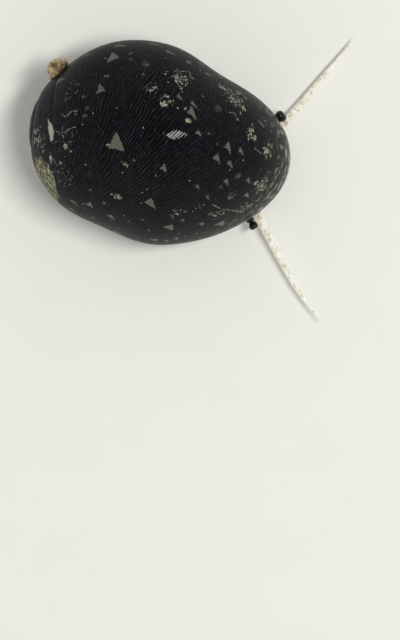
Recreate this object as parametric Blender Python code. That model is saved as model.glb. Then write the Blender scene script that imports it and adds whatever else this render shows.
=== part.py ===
"""Nerite snail, life size, crawling with its tentacles spread.

Metres, +Z up. The snail faces -Y, its left side is +X, and the origin is on the floor under the sole.
The shell is a globose, egg-shaped dome with a low spire on its right rear side. It is open below in a
D-shaped aperture, which the flesh fills. The foot, head and feelers reach out under its rim.
"""

import math

import bpy
import numpy as np

MM = 0.001

# Driving sizes, in millimetres.
SHELL_LENGTH = 20.0
SHELL_HEIGHT = 12.9  # from the plane of the aperture to the top of the dome
RIM_HEIGHT = 2.15  # of the aperture's plane above the floor, at the origin
RIM_RISE = 0.035  # how much that plane climbs for each millimetre forward
GAP = 0.3  # left between two solids that meet

# Half-widths of the shell seen from above, every 22.5 degrees from the snail's left side round by its tail,
# for a shell 20 mm long.
PLAN_RADII = (7.3, 7.85, 8.55, 9.2, 9.85, 9.75, 9.05, 7.9, 7.75, 7.85, 8.25, 9.2, 10.15, 9.5, 7.85, 6.95)
PLAN_RADII_LENGTH = 20.0
SUMMIT_SHIFT = (0.5, 0.4)  # of the highest point from the middle of the plan

# The widest level of the dome lies low round the outer lip, and high on the side away from it.
AWAY_FROM_LIP = math.radians(63)
WIDEST_MEAN = 3.1
WIDEST_SWING = 2.1
UNDER_DEPTH = 6.3  # of the ellipse that the dome follows below its widest level

# The spire: where its apex sits on the dome, and the spiral line between its whorls.
APEX_TURN = math.radians(93)
APEX_LEVEL = 4.3  # above the plane of the aperture
APEX_BUMP = 0.12
APEX_BUMP_RADIUS = 2.6
SUTURE_END_RADIUS = 6.17
SUTURE_END_TURN = math.radians(118)  # clockwise from the top, seen from outside
WHORL_GROWTH = 2.39  # each turn is this many times as wide as the last
SUTURE_DEPTH = 0.28
SUTURE_WIDTH = 0.4
SUTURE_FADES = (0.93, 1.02)  # shares of its end's radius between which the groove dies out
SWELL_FADE = 0.6  # radians before the end over which the last whorl sinks into the dome
WHORL_SWELL = 0.16
FULL_WHORL_RADIUS = 3.0  # groove and swell are full size from here outwards, and shrink towards the apex
LEAST_WHORL_SIZE = 0.25
SPIRE_CENTRE = (0.0, 0.0, 6.0)  # the spire lifts only the side of the shell that faces away from here
SPIRE_REACH = 3.2

# The aperture: its middle, the straight inner edge that the shell's deck ends in, and the recess above it.
APERTURE_MIDDLE = (-0.9, -3.4)
DECK_EDGE_POINT = (-0.4, 1.4)
DECK_EDGE_TURN = math.radians(-21)  # of the edge's line from +X
EDGE_CORNER_POWER = 8.0  # how tightly the lip's curve turns into the deck's edge
LIP_THICKNESS = 0.6
RECESS_DEPTH = 5.2
RECESS_ROUNDING = 0.6
RECESS_SHARES = (0.25, 0.5, 0.75, 0.92)
MANTLE_SHARES = (0.0, 0.25, 0.5, 0.7, 0.85)
MANTLE_FIT = 0.96
MANTLE_AROUND = 48

SOLE_HALF_LENGTH = 7.6
SOLE_HALF_WIDTH = 4.7
SOLE_MIDDLE_Y = 0.35
FOOT_HEIGHT = 1.78
FOOT_FRONT_HEIGHT = 0.85
TAIL_HEIGHT = 0.8
TAIL_STEP_Y = (1.6, 2.35)  # where the foot's back drops under the shell's deck
PROPODIUM_CUT_Y = -4.9
# Half of the foot's outline across it, from the middle of the sole round to the middle of its back:
# shares of its half-width and of its height.
FOOT_OUTLINE = (
    (0.0, 0.0), (0.45, 0.0), (0.85, 0.0), (0.96, 0.0), (1.0, 0.2), (0.985, 0.36),
    (0.9, 0.56), (0.78, 0.8), (0.62, 0.96), (0.3, 1.0), (0.0, 1.0),
)
FOOT_RING_STEP = 0.42

HEAD_FRONT_Y = -8.3
HEAD_BACK_Y = -3.9
HEAD_HALF_WIDTH = 3.6
HEAD_BOTTOM = 1.25
HEAD_TOP = 3.1
HEAD_SINK = 0.17  # of its middle, from the neck to the front
# Shares of the head's length from the neck, then of its full width and height there.
HEAD_STATIONS = (
    (0.0, 0.8, 0.72), (0.18, 0.9, 0.92), (0.42, 0.97, 1.0), (0.7, 1.0, 0.94), (0.9, 0.98, 0.85), (1.0, 0.93, 0.7),
)
SNOUT_FRONT_Y = -9.55
SNOUT_BACK_Y = -7.5
SNOUT_HALF_WIDTH = 3.1
SNOUT_BOTTOM = 0.22
SNOUT_TOP = 1.0
SNOUT_SHARES = (0.0, 0.3, 0.55, 0.75, 0.9, 0.985)

TENTACLE_ROOT_RADIUS = 0.4
TENTACLE_LEAST_RADIUS = 0.25
TENTACLE_TIP_RADIUS = 0.07
TENTACLE_SLIM_FROM = 0.62  # share of the length where the last taper starts
LEFT_TENTACLE = (
    (3.78, -8.84, 1.35), (5.6, -9.8, 1.35), (7.7, -10.8, 1.25), (9.7, -11.75, 1.2), (11.7, -12.7, 1.3),
)
RIGHT_TENTACLE = (
    (-3.72, -8.88, 1.35), (-5.35, -10.3, 1.3), (-7.35, -12.1, 1.15), (-8.95, -13.75, 1.1), (-10.3, -15.5, 1.2),
)
TENTACLE_CUTS = (0.34, 0.67)

STALK_RADIUS = 0.36
STALK_ROOT = (3.72, -7.9, 1.95)
STALK_TIP = (4.05, -8.22, 2.1)
EYE_RADIUS = 0.34
EYE_GAP = 0.15
STALK_STATIONS = ((0.0, 1.15), (0.4, 1.0), (0.8, 0.95), (1.0, 0.8))  # shares of its length and its radius

OPERCULUM_MIDDLE = (-0.35, 4.9)
OPERCULUM_HALF_WIDTH = 3.5
OPERCULUM_HALF_LENGTH = 2.4
OPERCULUM_THICKNESS = 0.5
OPERCULUM_BACK = 0.72  # how far its straighter rear edge bulges, as a share of its front's bulge
OPERCULUM_STATIONS = ((0.94, 0.0), (1.0, 0.35), (1.0, 0.65), (0.94, 1.0))  # share of its size, share up its side

TUFT_MIDDLE_TURN = math.radians(68.5)
TUFT_LEVEL = 5.6
TUFT_SIZE = (0.85, 0.6, 0.9)  # half-sizes along the shell, out from it, and up
TUFT_STATIONS = ((0.0, 0.75), (0.25, 0.95), (0.55, 1.0), (0.8, 0.8), (1.0, 0.4))  # share out, share of its size
TUFT_AROUND = 18
TUFT_RIPPLE = 0.1

SHELL_AROUND = 104
SHELL_RINGS = 39
SPIRE_CROWDING = 0.35  # how much closer the shell's columns stand on the spire's side


def clear_scene():
    for item in list(bpy.data.objects):
        bpy.data.objects.remove(item)


def material(name, colour, roughness):
    made = bpy.data.materials.new(name)
    made.use_nodes = True
    surface = made.node_tree.nodes["Principled BSDF"]
    surface.inputs["Base Color"].default_value = (*colour, 1.0)
    surface.inputs["Roughness"].default_value = roughness
    surface.inputs["Metallic"].default_value = 0.0
    return made


def add_loft(name, rings, finish):
    """One closed body through a list of rings of points, in millimetres. A ring of one point is a pole."""
    points = []
    starts = []
    for ring in rings:
        starts.append(len(points))
        points.extend(tuple(float(value) * MM for value in point) for point in ring)
    faces = []
    for index in range(len(rings) - 1):
        faces.extend(band(starts[index], len(rings[index]), starts[index + 1], len(rings[index + 1])))
    if len(rings[0]) > 1:
        faces.append(tuple(range(len(rings[0]))))
    if len(rings[-1]) > 1:
        faces.append(tuple(reversed(range(starts[-1], len(points)))))
    mesh = bpy.data.meshes.new(name)
    mesh.from_pydata(points, [], faces)
    mesh.validate()
    mesh.shade_smooth()
    made = bpy.data.objects.new(name, mesh)
    bpy.context.scene.collection.objects.link(made)
    made.data.materials.append(finish)
    face_outwards(made)
    return made


def band(first, first_count, second, second_count):
    """The faces between two neighbouring rings."""
    count = max(first_count, second_count)
    faces = []
    for step in range(count):
        after = (step + 1) % count
        if first_count == 1:
            faces.append((first, second + step, second + after))
        elif second_count == 1:
            faces.append((first + step, second, first + after))
        else:
            faces.append((first + step, second + step, second + after, first + after))
    return faces


def face_outwards(made):
    """Turns every face round if the body's volume comes out negative."""
    mesh = made.data
    mesh.calc_loop_triangles()
    points = np.array([vertex.co for vertex in mesh.vertices], float)
    corners = np.array([triangle.vertices for triangle in mesh.loop_triangles])
    if np.linalg.det(points[corners]).sum() < 0:
        mesh.flip_normals()


def smoothstep(low, high, value):
    share = np.clip((value - low) / (high - low), 0.0, 1.0)
    return share * share * (3.0 - 2.0 * share)


def plan_radius(turn):
    """The shell's half-width from above at an angle, a smooth wave through PLAN_RADII."""
    size = SHELL_LENGTH / PLAN_RADII_LENGTH
    count = len(PLAN_RADII)
    waves = np.fft.rfft(np.array(PLAN_RADII) * size) / count
    total = np.full(np.shape(turn), waves[0].real)
    for order in range(1, count // 2):
        wave = waves[order].real * np.cos(order * turn) - waves[order].imag * np.sin(order * turn)
        total = total + 2.0 * wave
    return total + waves[count // 2].real * np.cos(count // 2 * turn)


def rim_plane(y):
    """Height of the aperture's plane above the floor."""
    return RIM_HEIGHT - RIM_RISE * y


def widest_level(turn):
    return WIDEST_MEAN + WIDEST_SWING * np.cos(turn - AWAY_FROM_LIP)


def dome(turn, fall):
    """A point of the smooth dome. fall is 0 at the top, 1 at the widest level and 2 at the rim."""
    radius = plan_radius(turn)
    widest = widest_level(turn)
    rim_angle = np.arcsin(np.clip(widest / UNDER_DEPTH, 0.0, 0.98))
    above = fall <= 1.0
    angle = np.where(above, (1.0 - fall) * math.pi / 2, -(fall - 1.0) * rim_angle)
    depth = np.where(above, SHELL_HEIGHT - widest, UNDER_DEPTH)
    level = widest + depth * np.sin(angle)
    reach = radius * np.cos(angle)
    lean = np.clip(level / SHELL_HEIGHT, 0.0, 1.0) ** 2
    x = reach * np.cos(turn) + SUMMIT_SHIFT[0] * lean
    y = reach * np.sin(turn) + SUMMIT_SHIFT[1] * lean
    return np.stack([x, y, level + rim_plane(y)], -1)


def apex_frame():
    """The apex on the dome, with the directions out of it, to the right and up as seen from outside."""
    widest = float(widest_level(APEX_TURN))
    share = (APEX_LEVEL - widest) / (SHELL_HEIGHT - widest)
    fall = 1.0 - math.asin(share) / (math.pi / 2)
    step = 0.02
    middle = dome(np.array(APEX_TURN), np.array(fall))
    along = dome(np.array(APEX_TURN - step), np.array(fall)) - dome(np.array(APEX_TURN + step), np.array(fall))
    upward = dome(np.array(APEX_TURN), np.array(fall - step)) - dome(np.array(APEX_TURN), np.array(fall + step))
    out = np.cross(upward, along)
    out = -out / np.linalg.norm(out)
    if out @ np.array([math.cos(APEX_TURN), math.sin(APEX_TURN), 0.0]) < 0:
        out = -out
    up = upward - (upward @ out) * out
    up = up / np.linalg.norm(up)
    right = np.cross(-out, up)
    return middle, out, right, up


def spire_lift(points):
    """How far the spire's whorls stand out of the dome, and the suture sinks in, at each point."""
    middle, out, right, up = apex_frame()
    offset = points - middle
    across = offset @ right
    rise = offset @ up
    radius = np.sqrt(across**2 + rise**2) + 1e-6
    clock = np.arctan2(across, rise)
    clock = np.where(clock > SUTURE_END_TURN, clock - 2 * math.pi, clock)
    growth = math.log(WHORL_GROWTH)
    turns = np.log(radius / SUTURE_END_RADIUS) / growth + (SUTURE_END_TURN - clock) / (2 * math.pi)
    nearest = np.minimum(np.round(turns), 0.0)
    distance = radius * growth * np.abs(turns - nearest)
    size = np.clip(radius / FULL_WHORL_RADIUS, LEAST_WHORL_SIZE, 1.0)
    groove = SUTURE_DEPTH * size * np.exp(-((distance / (SUTURE_WIDTH * size)) ** 2))
    fades, gone = SUTURE_FADES
    groove = groove * (1.0 - smoothstep(SUTURE_END_RADIUS * fades, SUTURE_END_RADIUS * gone, radius))
    swell = np.where(turns < 0, WHORL_SWELL * size * np.sin(math.pi * (turns % 1.0)), 0.0)
    swell = swell * (1.0 - smoothstep(SUTURE_END_TURN - SWELL_FADE, SUTURE_END_TURN, clock))
    bump = APEX_BUMP * np.exp(-((radius / APEX_BUMP_RADIUS) ** 2))
    facing = smoothstep(0.0, SPIRE_REACH, (points - np.array(SPIRE_CENTRE)) @ out)
    return (bump + swell - groove) * facing, out


def shell_surface(turn, fall):
    """The outer face of the shell, dome and spire together."""
    points = dome(turn, fall)
    lift, out = spire_lift(points)
    return points + lift[..., None] * out


def aperture_radius(turn, inset):
    """Distance from APERTURE_MIDDLE to the D-shaped edge, drawn in by inset, at an angle."""
    middle = np.array(APERTURE_MIDDLE)
    sweep = np.linspace(0.0, 2 * math.pi, 361)
    rim = shell_surface(sweep, np.full(sweep.shape, 2.0))[:, :2] - middle
    rim_turn = np.arctan2(rim[:, 1], rim[:, 0])
    order = np.argsort(rim_turn)
    reach = np.hypot(rim[:, 0], rim[:, 1])
    to_rim = np.interp(turn, rim_turn[order], reach[order], period=2 * math.pi) - inset
    normal = np.array([-math.sin(DECK_EDGE_TURN), math.cos(DECK_EDGE_TURN)])
    clear = (np.array(DECK_EDGE_POINT) - middle) @ normal - inset * 0.5
    facing = np.cos(turn) * normal[0] + np.sin(turn) * normal[1]
    to_deck = np.where(facing > 0.05, clear / np.maximum(facing, 0.05), 1e3)
    power = EDGE_CORNER_POWER
    return (to_rim**-power + to_deck**-power) ** (-1.0 / power)


def aperture_ring(turn, inset, scale, level):
    reach = aperture_radius(turn, inset) * scale
    x = APERTURE_MIDDLE[0] + reach * np.cos(turn)
    y = APERTURE_MIDDLE[1] + reach * np.sin(turn)
    return np.stack([x, y, rim_plane(y) + level], -1)


def crowded_turns():
    """Angles round the shell, closer together where the spire is."""
    even = np.linspace(0.0, 2 * math.pi, SHELL_AROUND, endpoint=False)
    return even + SPIRE_CROWDING * np.sin(even - APEX_TURN + math.pi)


def make_shell(finish):
    turn = crowded_turns()
    rings = [shell_surface(np.zeros(1), np.zeros(1))]
    above = np.linspace(0.0, 1.0, SHELL_RINGS * 2 // 3 + 1)[1:]
    below = np.linspace(1.0, 2.0, SHELL_RINGS // 3 + 1)[1:]
    for fall in np.concatenate([above, below]):
        rings.append(shell_surface(turn, np.full(turn.shape, fall)))
    rim = rings[-1]
    inward = rim[:, :2] - np.array(APERTURE_MIDDLE)
    inner_turn = np.arctan2(inward[:, 1], inward[:, 0])
    edge = aperture_ring(inner_turn, LIP_THICKNESS, 1.0, 0.0)
    rings.append(rim * 0.5 + edge * 0.5)
    rings.append(edge)
    for share in RECESS_SHARES:
        angle = share * math.pi / 2
        scale = math.cos(angle) ** RECESS_ROUNDING
        rings.append(aperture_ring(inner_turn, LIP_THICKNESS, scale, RECESS_DEPTH * math.sin(angle)))
    rings.append(aperture_ring(np.zeros(1), LIP_THICKNESS, 0.0, RECESS_DEPTH))
    return add_loft("shell", rings, finish)


def make_mantle(finish):
    """The flesh that fills the aperture behind the head, up to the roof of the recess."""
    turn = np.linspace(0.0, 2 * math.pi, MANTLE_AROUND, endpoint=False)
    front = HEAD_BACK_Y + GAP
    inset = LIP_THICKNESS + GAP * 1.3
    rings = []
    for share in MANTLE_SHARES:
        angle = share * math.pi / 2
        level = (RECESS_DEPTH - GAP) * math.sin(angle)
        ring = aperture_ring(turn, inset, math.cos(angle) ** RECESS_ROUNDING * MANTLE_FIT, level)
        ring[:, 1] = np.maximum(ring[:, 1], front)
        ring[:, 2] = rim_plane(ring[:, 1]) + level
        rings.append(ring)
    return add_loft("mantle", spread_flat(rings), finish)


def spread_flat(rings):
    """Moves the points that a flat front has gathered so that no two of a ring stand in one place."""
    spread = []
    for ring in rings:
        flat = ring.copy()
        front = flat[:, 1].min()
        on_front = np.where(flat[:, 1] <= front + 1e-6)[0]
        low = flat[on_front, 0].min()
        high = flat[on_front, 0].max()
        order = on_front[np.argsort(flat[on_front, 0])]
        flat[order, 0] = np.linspace(low, high, len(order))
        spread.append(flat)
    return spread


def sole_half_width(y):
    """Half the width of the foot at a distance along it: broad in front, narrower at the tail."""
    forward = np.clip((SOLE_MIDDLE_Y - y) / SOLE_HALF_LENGTH, -0.995, 0.995)
    return SOLE_HALF_WIDTH * (1.0 - abs(forward) ** 2.4) ** 0.55 * (1.0 + 0.14 * forward)


def foot_height(y):
    front = smoothstep(HEAD_BACK_Y - 0.6, HEAD_BACK_Y + 0.4, y)
    tail = smoothstep(*TAIL_STEP_Y, y)
    full = FOOT_FRONT_HEIGHT + (FOOT_HEIGHT - FOOT_FRONT_HEIGHT) * front
    return full + (TAIL_HEIGHT - full) * tail


def foot_section(y):
    """The outline of the foot across it: flat on the floor, with a thin skirt and a narrower back."""
    wide = float(sole_half_width(y))
    end = min(1.0, 0.35 + 0.65 * wide / SOLE_HALF_WIDTH * 1.3)
    high = float(foot_height(y)) * end
    right = [(share * wide, y, level * high) for share, level in FOOT_OUTLINE]
    left = [(-x, back, z) for x, back, z in reversed(right[1:-1])]
    return right + left


def make_foot_piece(name, finish, front_y, back_y):
    """A length of the foot between two planes across it."""
    count = max(8, int((back_y - front_y) / FOOT_RING_STEP))
    shares = 0.5 - 0.5 * np.cos(np.linspace(0.0, math.pi, count))
    rings = [foot_section(front_y + (back_y - front_y) * share) for share in shares]
    return add_loft(name, rings, finish)


def oval_ring(middle, across, up, half_across, half_up, count=28, power=1.0):
    turn = np.linspace(0.0, 2 * math.pi, count, endpoint=False)
    sideways = np.sign(np.cos(turn)) * np.abs(np.cos(turn)) ** power * half_across
    rise = np.sign(np.sin(turn)) * np.abs(np.sin(turn)) ** power * half_up
    return np.array(middle) + sideways[:, None] * np.array(across) + rise[:, None] * np.array(up)


def make_head(finish):
    """The broad neck and head, with the feelers at its front corners."""
    middle_z = (HEAD_BOTTOM + HEAD_TOP) / 2
    half_height = (HEAD_TOP - HEAD_BOTTOM) / 2
    rings = []
    for share, wide, high in HEAD_STATIONS:
        y = HEAD_BACK_Y + (HEAD_FRONT_Y - HEAD_BACK_Y) * share
        middle = (0.0, y, middle_z - HEAD_SINK * share)
        across = HEAD_HALF_WIDTH * wide
        rings.append(oval_ring(middle, (1, 0, 0), (0, 0, 1), across, half_height * high, 32, 0.85))
    return add_loft("head", rings, finish)


def make_snout(finish):
    """The flat lobed muzzle under the front of the head."""
    rings = []
    middle_z = (SNOUT_BOTTOM + SNOUT_TOP) / 2
    half_height = (SNOUT_TOP - SNOUT_BOTTOM) / 2
    for share in SNOUT_SHARES:
        y = SNOUT_BACK_Y + (SNOUT_FRONT_Y - SNOUT_BACK_Y) * share
        wide = SNOUT_HALF_WIDTH * (1.0 - share**3) ** 0.45
        high = half_height * (1.0 - 0.45 * share**2)
        rings.append(oval_ring((0.0, y, middle_z), (1, 0, 0), (0, 0, 1), wide, high, 32, 0.8))
    return add_loft("snout", rings, finish)


def smooth_path(points, share):
    """A point on the smooth curve through hand-placed points, at a share of its length."""
    knots = np.array(points, float)
    steps = np.linspace(0.0, len(knots) - 1, 200)
    curve = np.array([catmull(knots, step) for step in steps])
    lengths = np.concatenate([[0.0], np.cumsum(np.linalg.norm(np.diff(curve, axis=0), axis=1))])
    target = share * lengths[-1]
    return np.array([np.interp(target, lengths, curve[:, axis]) for axis in range(3)])


def catmull(knots, step):
    index = min(int(step), len(knots) - 2)
    share = step - index
    before = knots[max(index - 1, 0)]
    start = knots[index]
    end = knots[index + 1]
    after = knots[min(index + 2, len(knots) - 1)]
    bend = 2 * before - 5 * start + 4 * end - after
    twist = -before + 3 * start - 3 * end + after
    return 0.5 * (2 * start + (end - before) * share + bend * share**2 + twist * share**3)


def path_length(points):
    knots = [smooth_path(points, share) for share in np.linspace(0.0, 1.0, 60)]
    return float(np.linalg.norm(np.diff(knots, axis=0), axis=1).sum())


def tentacle_radius(share):
    if share < TENTACLE_SLIM_FROM:
        mix = share / TENTACLE_SLIM_FROM
        return TENTACLE_ROOT_RADIUS + (TENTACLE_LEAST_RADIUS - TENTACLE_ROOT_RADIUS) * mix
    mix = (share - TENTACLE_SLIM_FROM) / (1.0 - TENTACLE_SLIM_FROM)
    return TENTACLE_LEAST_RADIUS + (TENTACLE_TIP_RADIUS - TENTACLE_LEAST_RADIUS) * mix


def make_tube(name, points, low, high, radius_at, rings_count, finish):
    """A tapering tube along part of a path, between two shares of its length."""
    rings = []
    for share in np.linspace(low, high, rings_count):
        middle = smooth_path(points, share)
        ahead = smooth_path(points, min(share + 0.01, 1.0)) - smooth_path(points, max(share - 0.01, 0.0))
        ahead = ahead / np.linalg.norm(ahead)
        across = np.cross(ahead, (0.0, 0.0, 1.0))
        across = across / np.linalg.norm(across)
        rings.append(oval_ring(middle, across, np.cross(across, ahead), radius_at(share), radius_at(share), 12))
    return add_loft(name, rings, finish)


def make_tentacle(side, points, finish):
    """One feeler in three lengths, from the head to the tip."""
    half_gap = GAP / 2 / path_length(points)
    first, second = TENTACLE_CUTS
    make_tube(f"tentacle_{side}_base", points, 0.0, first - half_gap, tentacle_radius, 7, finish)
    start = first + half_gap
    make_tube(f"tentacle_{side}_middle", points, start, second - half_gap, tentacle_radius, 7, finish)
    make_tube(f"tentacle_{side}_tip", points, second + half_gap, 1.0, tentacle_radius, 8, finish)


def ball_rings(middle, half_sizes, count, steps):
    rings = [np.array([[middle[0], middle[1], middle[2] - half_sizes[2]]])]
    for step in range(1, steps):
        angle = -math.pi / 2 + math.pi * step / steps
        turn = np.linspace(0.0, 2 * math.pi, count, endpoint=False)
        x = middle[0] + half_sizes[0] * math.cos(angle) * np.cos(turn)
        y = middle[1] + half_sizes[1] * math.cos(angle) * np.sin(turn)
        z = np.full(turn.shape, middle[2] + half_sizes[2] * math.sin(angle))
        rings.append(np.stack([x, y, z], -1))
    rings.append(np.array([[middle[0], middle[1], middle[2] + half_sizes[2]]]))
    return rings


def make_eye(side, sign, skin, pupil):
    """The short stalk beside the feeler's root, and the eye on its end."""
    root = np.array((STALK_ROOT[0] * sign, *STALK_ROOT[1:]))
    tip = np.array((STALK_TIP[0] * sign, *STALK_TIP[1:]))
    ahead = (tip - root) / np.linalg.norm(tip - root)
    across = np.cross(ahead, (0.0, 0.0, 1.0))
    rings = []
    for share, wide in STALK_STATIONS:
        middle = root + (tip - root) * share
        rings.append(oval_ring(middle, across, (0, 0, 1), STALK_RADIUS * wide, STALK_RADIUS * wide, 14))
    add_loft(f"eye_stalk_{side}", rings, skin)
    middle = tip + ahead * (EYE_GAP + EYE_RADIUS)
    add_loft(f"eye_{side}", ball_rings(middle, (EYE_RADIUS,) * 3, 14, 8), pupil)


def make_operculum(finish):
    """The D-shaped trapdoor, carried on the back of the tail."""
    turn = np.linspace(0.0, 2 * math.pi, 40, endpoint=False)
    forward = np.sin(turn)
    bulge = np.where(forward > 0, 1.0, OPERCULUM_BACK)
    low = TAIL_HEIGHT + GAP
    rings = []
    for scale, share in OPERCULUM_STATIONS:
        x = OPERCULUM_MIDDLE[0] + OPERCULUM_HALF_WIDTH * scale * np.cos(turn)
        y = OPERCULUM_MIDDLE[1] + OPERCULUM_HALF_LENGTH * scale * bulge * forward
        z = np.full(turn.shape, low + OPERCULUM_THICKNESS * share)
        rings.append(np.stack([x, y, z], -1))
    return add_loft("operculum", rings, finish)


def make_tuft(finish):
    """A small clump of weed that grows on the shell's rear edge."""
    along, out, up = TUFT_SIZE
    widest = float(widest_level(TUFT_MIDDLE_TURN))
    share = (TUFT_LEVEL - widest) / (SHELL_HEIGHT - widest)
    fall = 1.0 - math.asin(max(-1.0, min(1.0, share))) / (math.pi / 2)
    root = shell_surface(np.array(TUFT_MIDDLE_TURN), np.array(fall))
    outward = np.array([math.cos(TUFT_MIDDLE_TURN), math.sin(TUFT_MIDDLE_TURN), 0.0])
    sideways = np.array([-outward[1], outward[0], 0.0])
    rings = []
    for share, wide in TUFT_STATIONS:
        middle = root + outward * (GAP * 0.9 + 2.0 * out * share)
        ring = oval_ring(middle, sideways, (0, 0, 1), along * wide, up * wide, TUFT_AROUND)
        ripple = 1.0 + TUFT_RIPPLE * np.sin(np.arange(TUFT_AROUND) * 2.1 + 3.0 * share)
        rings.append(middle + (ring - middle) * ripple[:, None])
    return add_loft("shell_tuft", rings, finish)


def main():
    clear_scene()
    shell = material("shell", (0.006, 0.007, 0.012), 0.25)
    dark_flesh = material("flesh_dark", (0.035, 0.022, 0.012), 0.4)
    mantle = material("mantle", (0.008, 0.007, 0.007), 0.4)
    pale_flesh = material("flesh_cream", (0.62, 0.55, 0.36), 0.4)
    pupil = material("eye", (0.004, 0.004, 0.004), 0.15)
    horn = material("operculum", (0.30, 0.25, 0.18), 0.4)
    weed = material("tuft", (0.34, 0.22, 0.08), 0.9)
    make_shell(shell)
    make_mantle(mantle)
    front_y = SOLE_MIDDLE_Y - SOLE_HALF_LENGTH * 0.99
    back_y = SOLE_MIDDLE_Y + SOLE_HALF_LENGTH * 0.99
    make_foot_piece("propodium", dark_flesh, front_y, PROPODIUM_CUT_Y - GAP / 2)
    make_foot_piece("foot", dark_flesh, PROPODIUM_CUT_Y + GAP / 2, back_y)
    make_head(dark_flesh)
    make_snout(dark_flesh)
    make_tentacle("left", LEFT_TENTACLE, pale_flesh)
    make_tentacle("right", RIGHT_TENTACLE, pale_flesh)
    make_eye("left", 1.0, mantle, pupil)
    make_eye("right", -1.0, mantle, pupil)
    make_operculum(horn)
    make_tuft(weed)


main()
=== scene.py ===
"""Looks of the nerite snail: glossy patterned shell, wet flesh, eyes, weed tuft, floor, light and camera.

Lengths inside the shape functions are millimetres in the row's frame. mesh_object turns them to metres.
The snail faces -Y, its left side is +X, and the floor is at zero.
"""

import math

import bpy
import numpy as np
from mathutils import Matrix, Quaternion, Vector


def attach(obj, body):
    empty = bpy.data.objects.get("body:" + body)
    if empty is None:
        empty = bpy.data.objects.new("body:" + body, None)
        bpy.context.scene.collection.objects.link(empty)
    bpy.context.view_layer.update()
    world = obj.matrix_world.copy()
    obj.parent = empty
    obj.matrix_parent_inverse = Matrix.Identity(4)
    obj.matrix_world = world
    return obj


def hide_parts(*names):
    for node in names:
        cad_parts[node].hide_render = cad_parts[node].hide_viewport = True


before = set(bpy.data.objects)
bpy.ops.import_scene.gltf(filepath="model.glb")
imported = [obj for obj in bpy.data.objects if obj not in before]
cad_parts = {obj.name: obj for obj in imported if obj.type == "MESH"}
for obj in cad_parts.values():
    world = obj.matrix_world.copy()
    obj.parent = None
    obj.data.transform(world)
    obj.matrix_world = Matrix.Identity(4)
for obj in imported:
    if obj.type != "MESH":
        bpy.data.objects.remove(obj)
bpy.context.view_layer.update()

MM = 0.001

# Shell, as the frame's solid has it, but with a finer groove and lower whorls on the spire.
SHELL_HEIGHT = 12.9
RIM_HEIGHT = 2.15
RIM_RISE = 0.035
PLAN_RADII = (7.3, 7.85, 8.55, 9.2, 9.85, 9.75, 9.05, 7.9, 7.75, 7.85, 8.25, 9.2, 10.15, 9.5, 7.85, 6.95)
SUMMIT_SHIFT = (0.5, 0.4)
AWAY_FROM_LIP = math.radians(63)
WIDEST_MEAN = 3.1
WIDEST_SWING = 2.1
UNDER_DEPTH = 6.3
APEX_TURN = math.radians(93)
APEX_LEVEL = 4.3
APEX_BUMP = 0.12
APEX_BUMP_RADIUS = 2.6
SUTURE_END_RADIUS = 6.17
SUTURE_END_TURN = math.radians(118)
WHORL_GROWTH = 2.39
SUTURE_DEPTH = 0.08
SUTURE_WIDTH = 0.15
SUTURE_FADES = (0.66, 0.86)
SWELL_FADE = 0.6
FULL_WHORL_RADIUS = 3.0
LEAST_WHORL_SIZE = 0.25
SPIRE_CENTRE = (0.0, 0.0, 6.0)
SPIRE_REACH = 3.2
WHORL_SWELL = 0.1
APERTURE_MIDDLE = (-0.9, -3.4)
DECK_EDGE_POINT = (-0.4, 1.4)
DECK_EDGE_TURN = math.radians(-21)
LIP_THICKNESS = 0.6
EDGE_CORNER_POWER = 8.0  # how tightly the lip's curve turns into the deck's edge
DECK_INSET = 0.5  # the deck's edge is drawn in by this share of the lip's thickness
LEAST_DECK_FACING = 0.05  # below it the deck's edge is out of reach
OUT_OF_REACH = 1e3
RIM_SAMPLES = 721
LIP_RINGS = ((0.06, 0.0), (0.3, 0.0), (0.6, 0.0), (0.85, 0.02))  # share of the way inwards, and lift
LIP_ROUNDING = 0.12
RECESS_DEPTH = 5.2
RECESS_ROUNDING = 0.6
RECESS_RINGS = (0.1, 0.25, 0.4, 0.6, 0.8, 0.92)  # shares of a quarter turn
SHELL_AROUND = 640
SHELL_RINGS = 270
SUMMIT_RINGS_LEFT_OUT = 4  # they would crowd round the pole
SPIRE_CROWDING = 0.3  # how much closer the shell's columns stand on the spire's side

# Lines of growth are like the edges of a book's pages. Their spine runs from the apex to a point under the
# left side of the aperture. Each line also swings back round it, this many radians per radian away from the
# apex, at these angles from the spine as seen from a centre this deep under the apex.
GROWTH_FOOT = (6.0, -2.0, 2.0)
GROWTH_CENTRE_DEPTH = 7.0
GROWTH_AWAY = (0.0, 0.45, 0.72, 0.93, 1.14, 1.35, 1.56, 1.76, 1.97, 2.18, 2.39, 2.7, 3.14)
GROWTH_LEAN = (2.0, 4.2, 5.4, 3.85, 1.96, 1.24, 0.62, 0.5, 0.72, 1.0, 2.2, 2.6, 2.6)
GROWTH_SAMPLES = 400
RIDGE_SPACING = 0.22
FEWEST_RIDGES = 24  # in one turn, doubled as often as the lines spread
RIDGE_DOUBLINGS = 5
RIDGE_WANDER = 9.0  # radians

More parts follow.
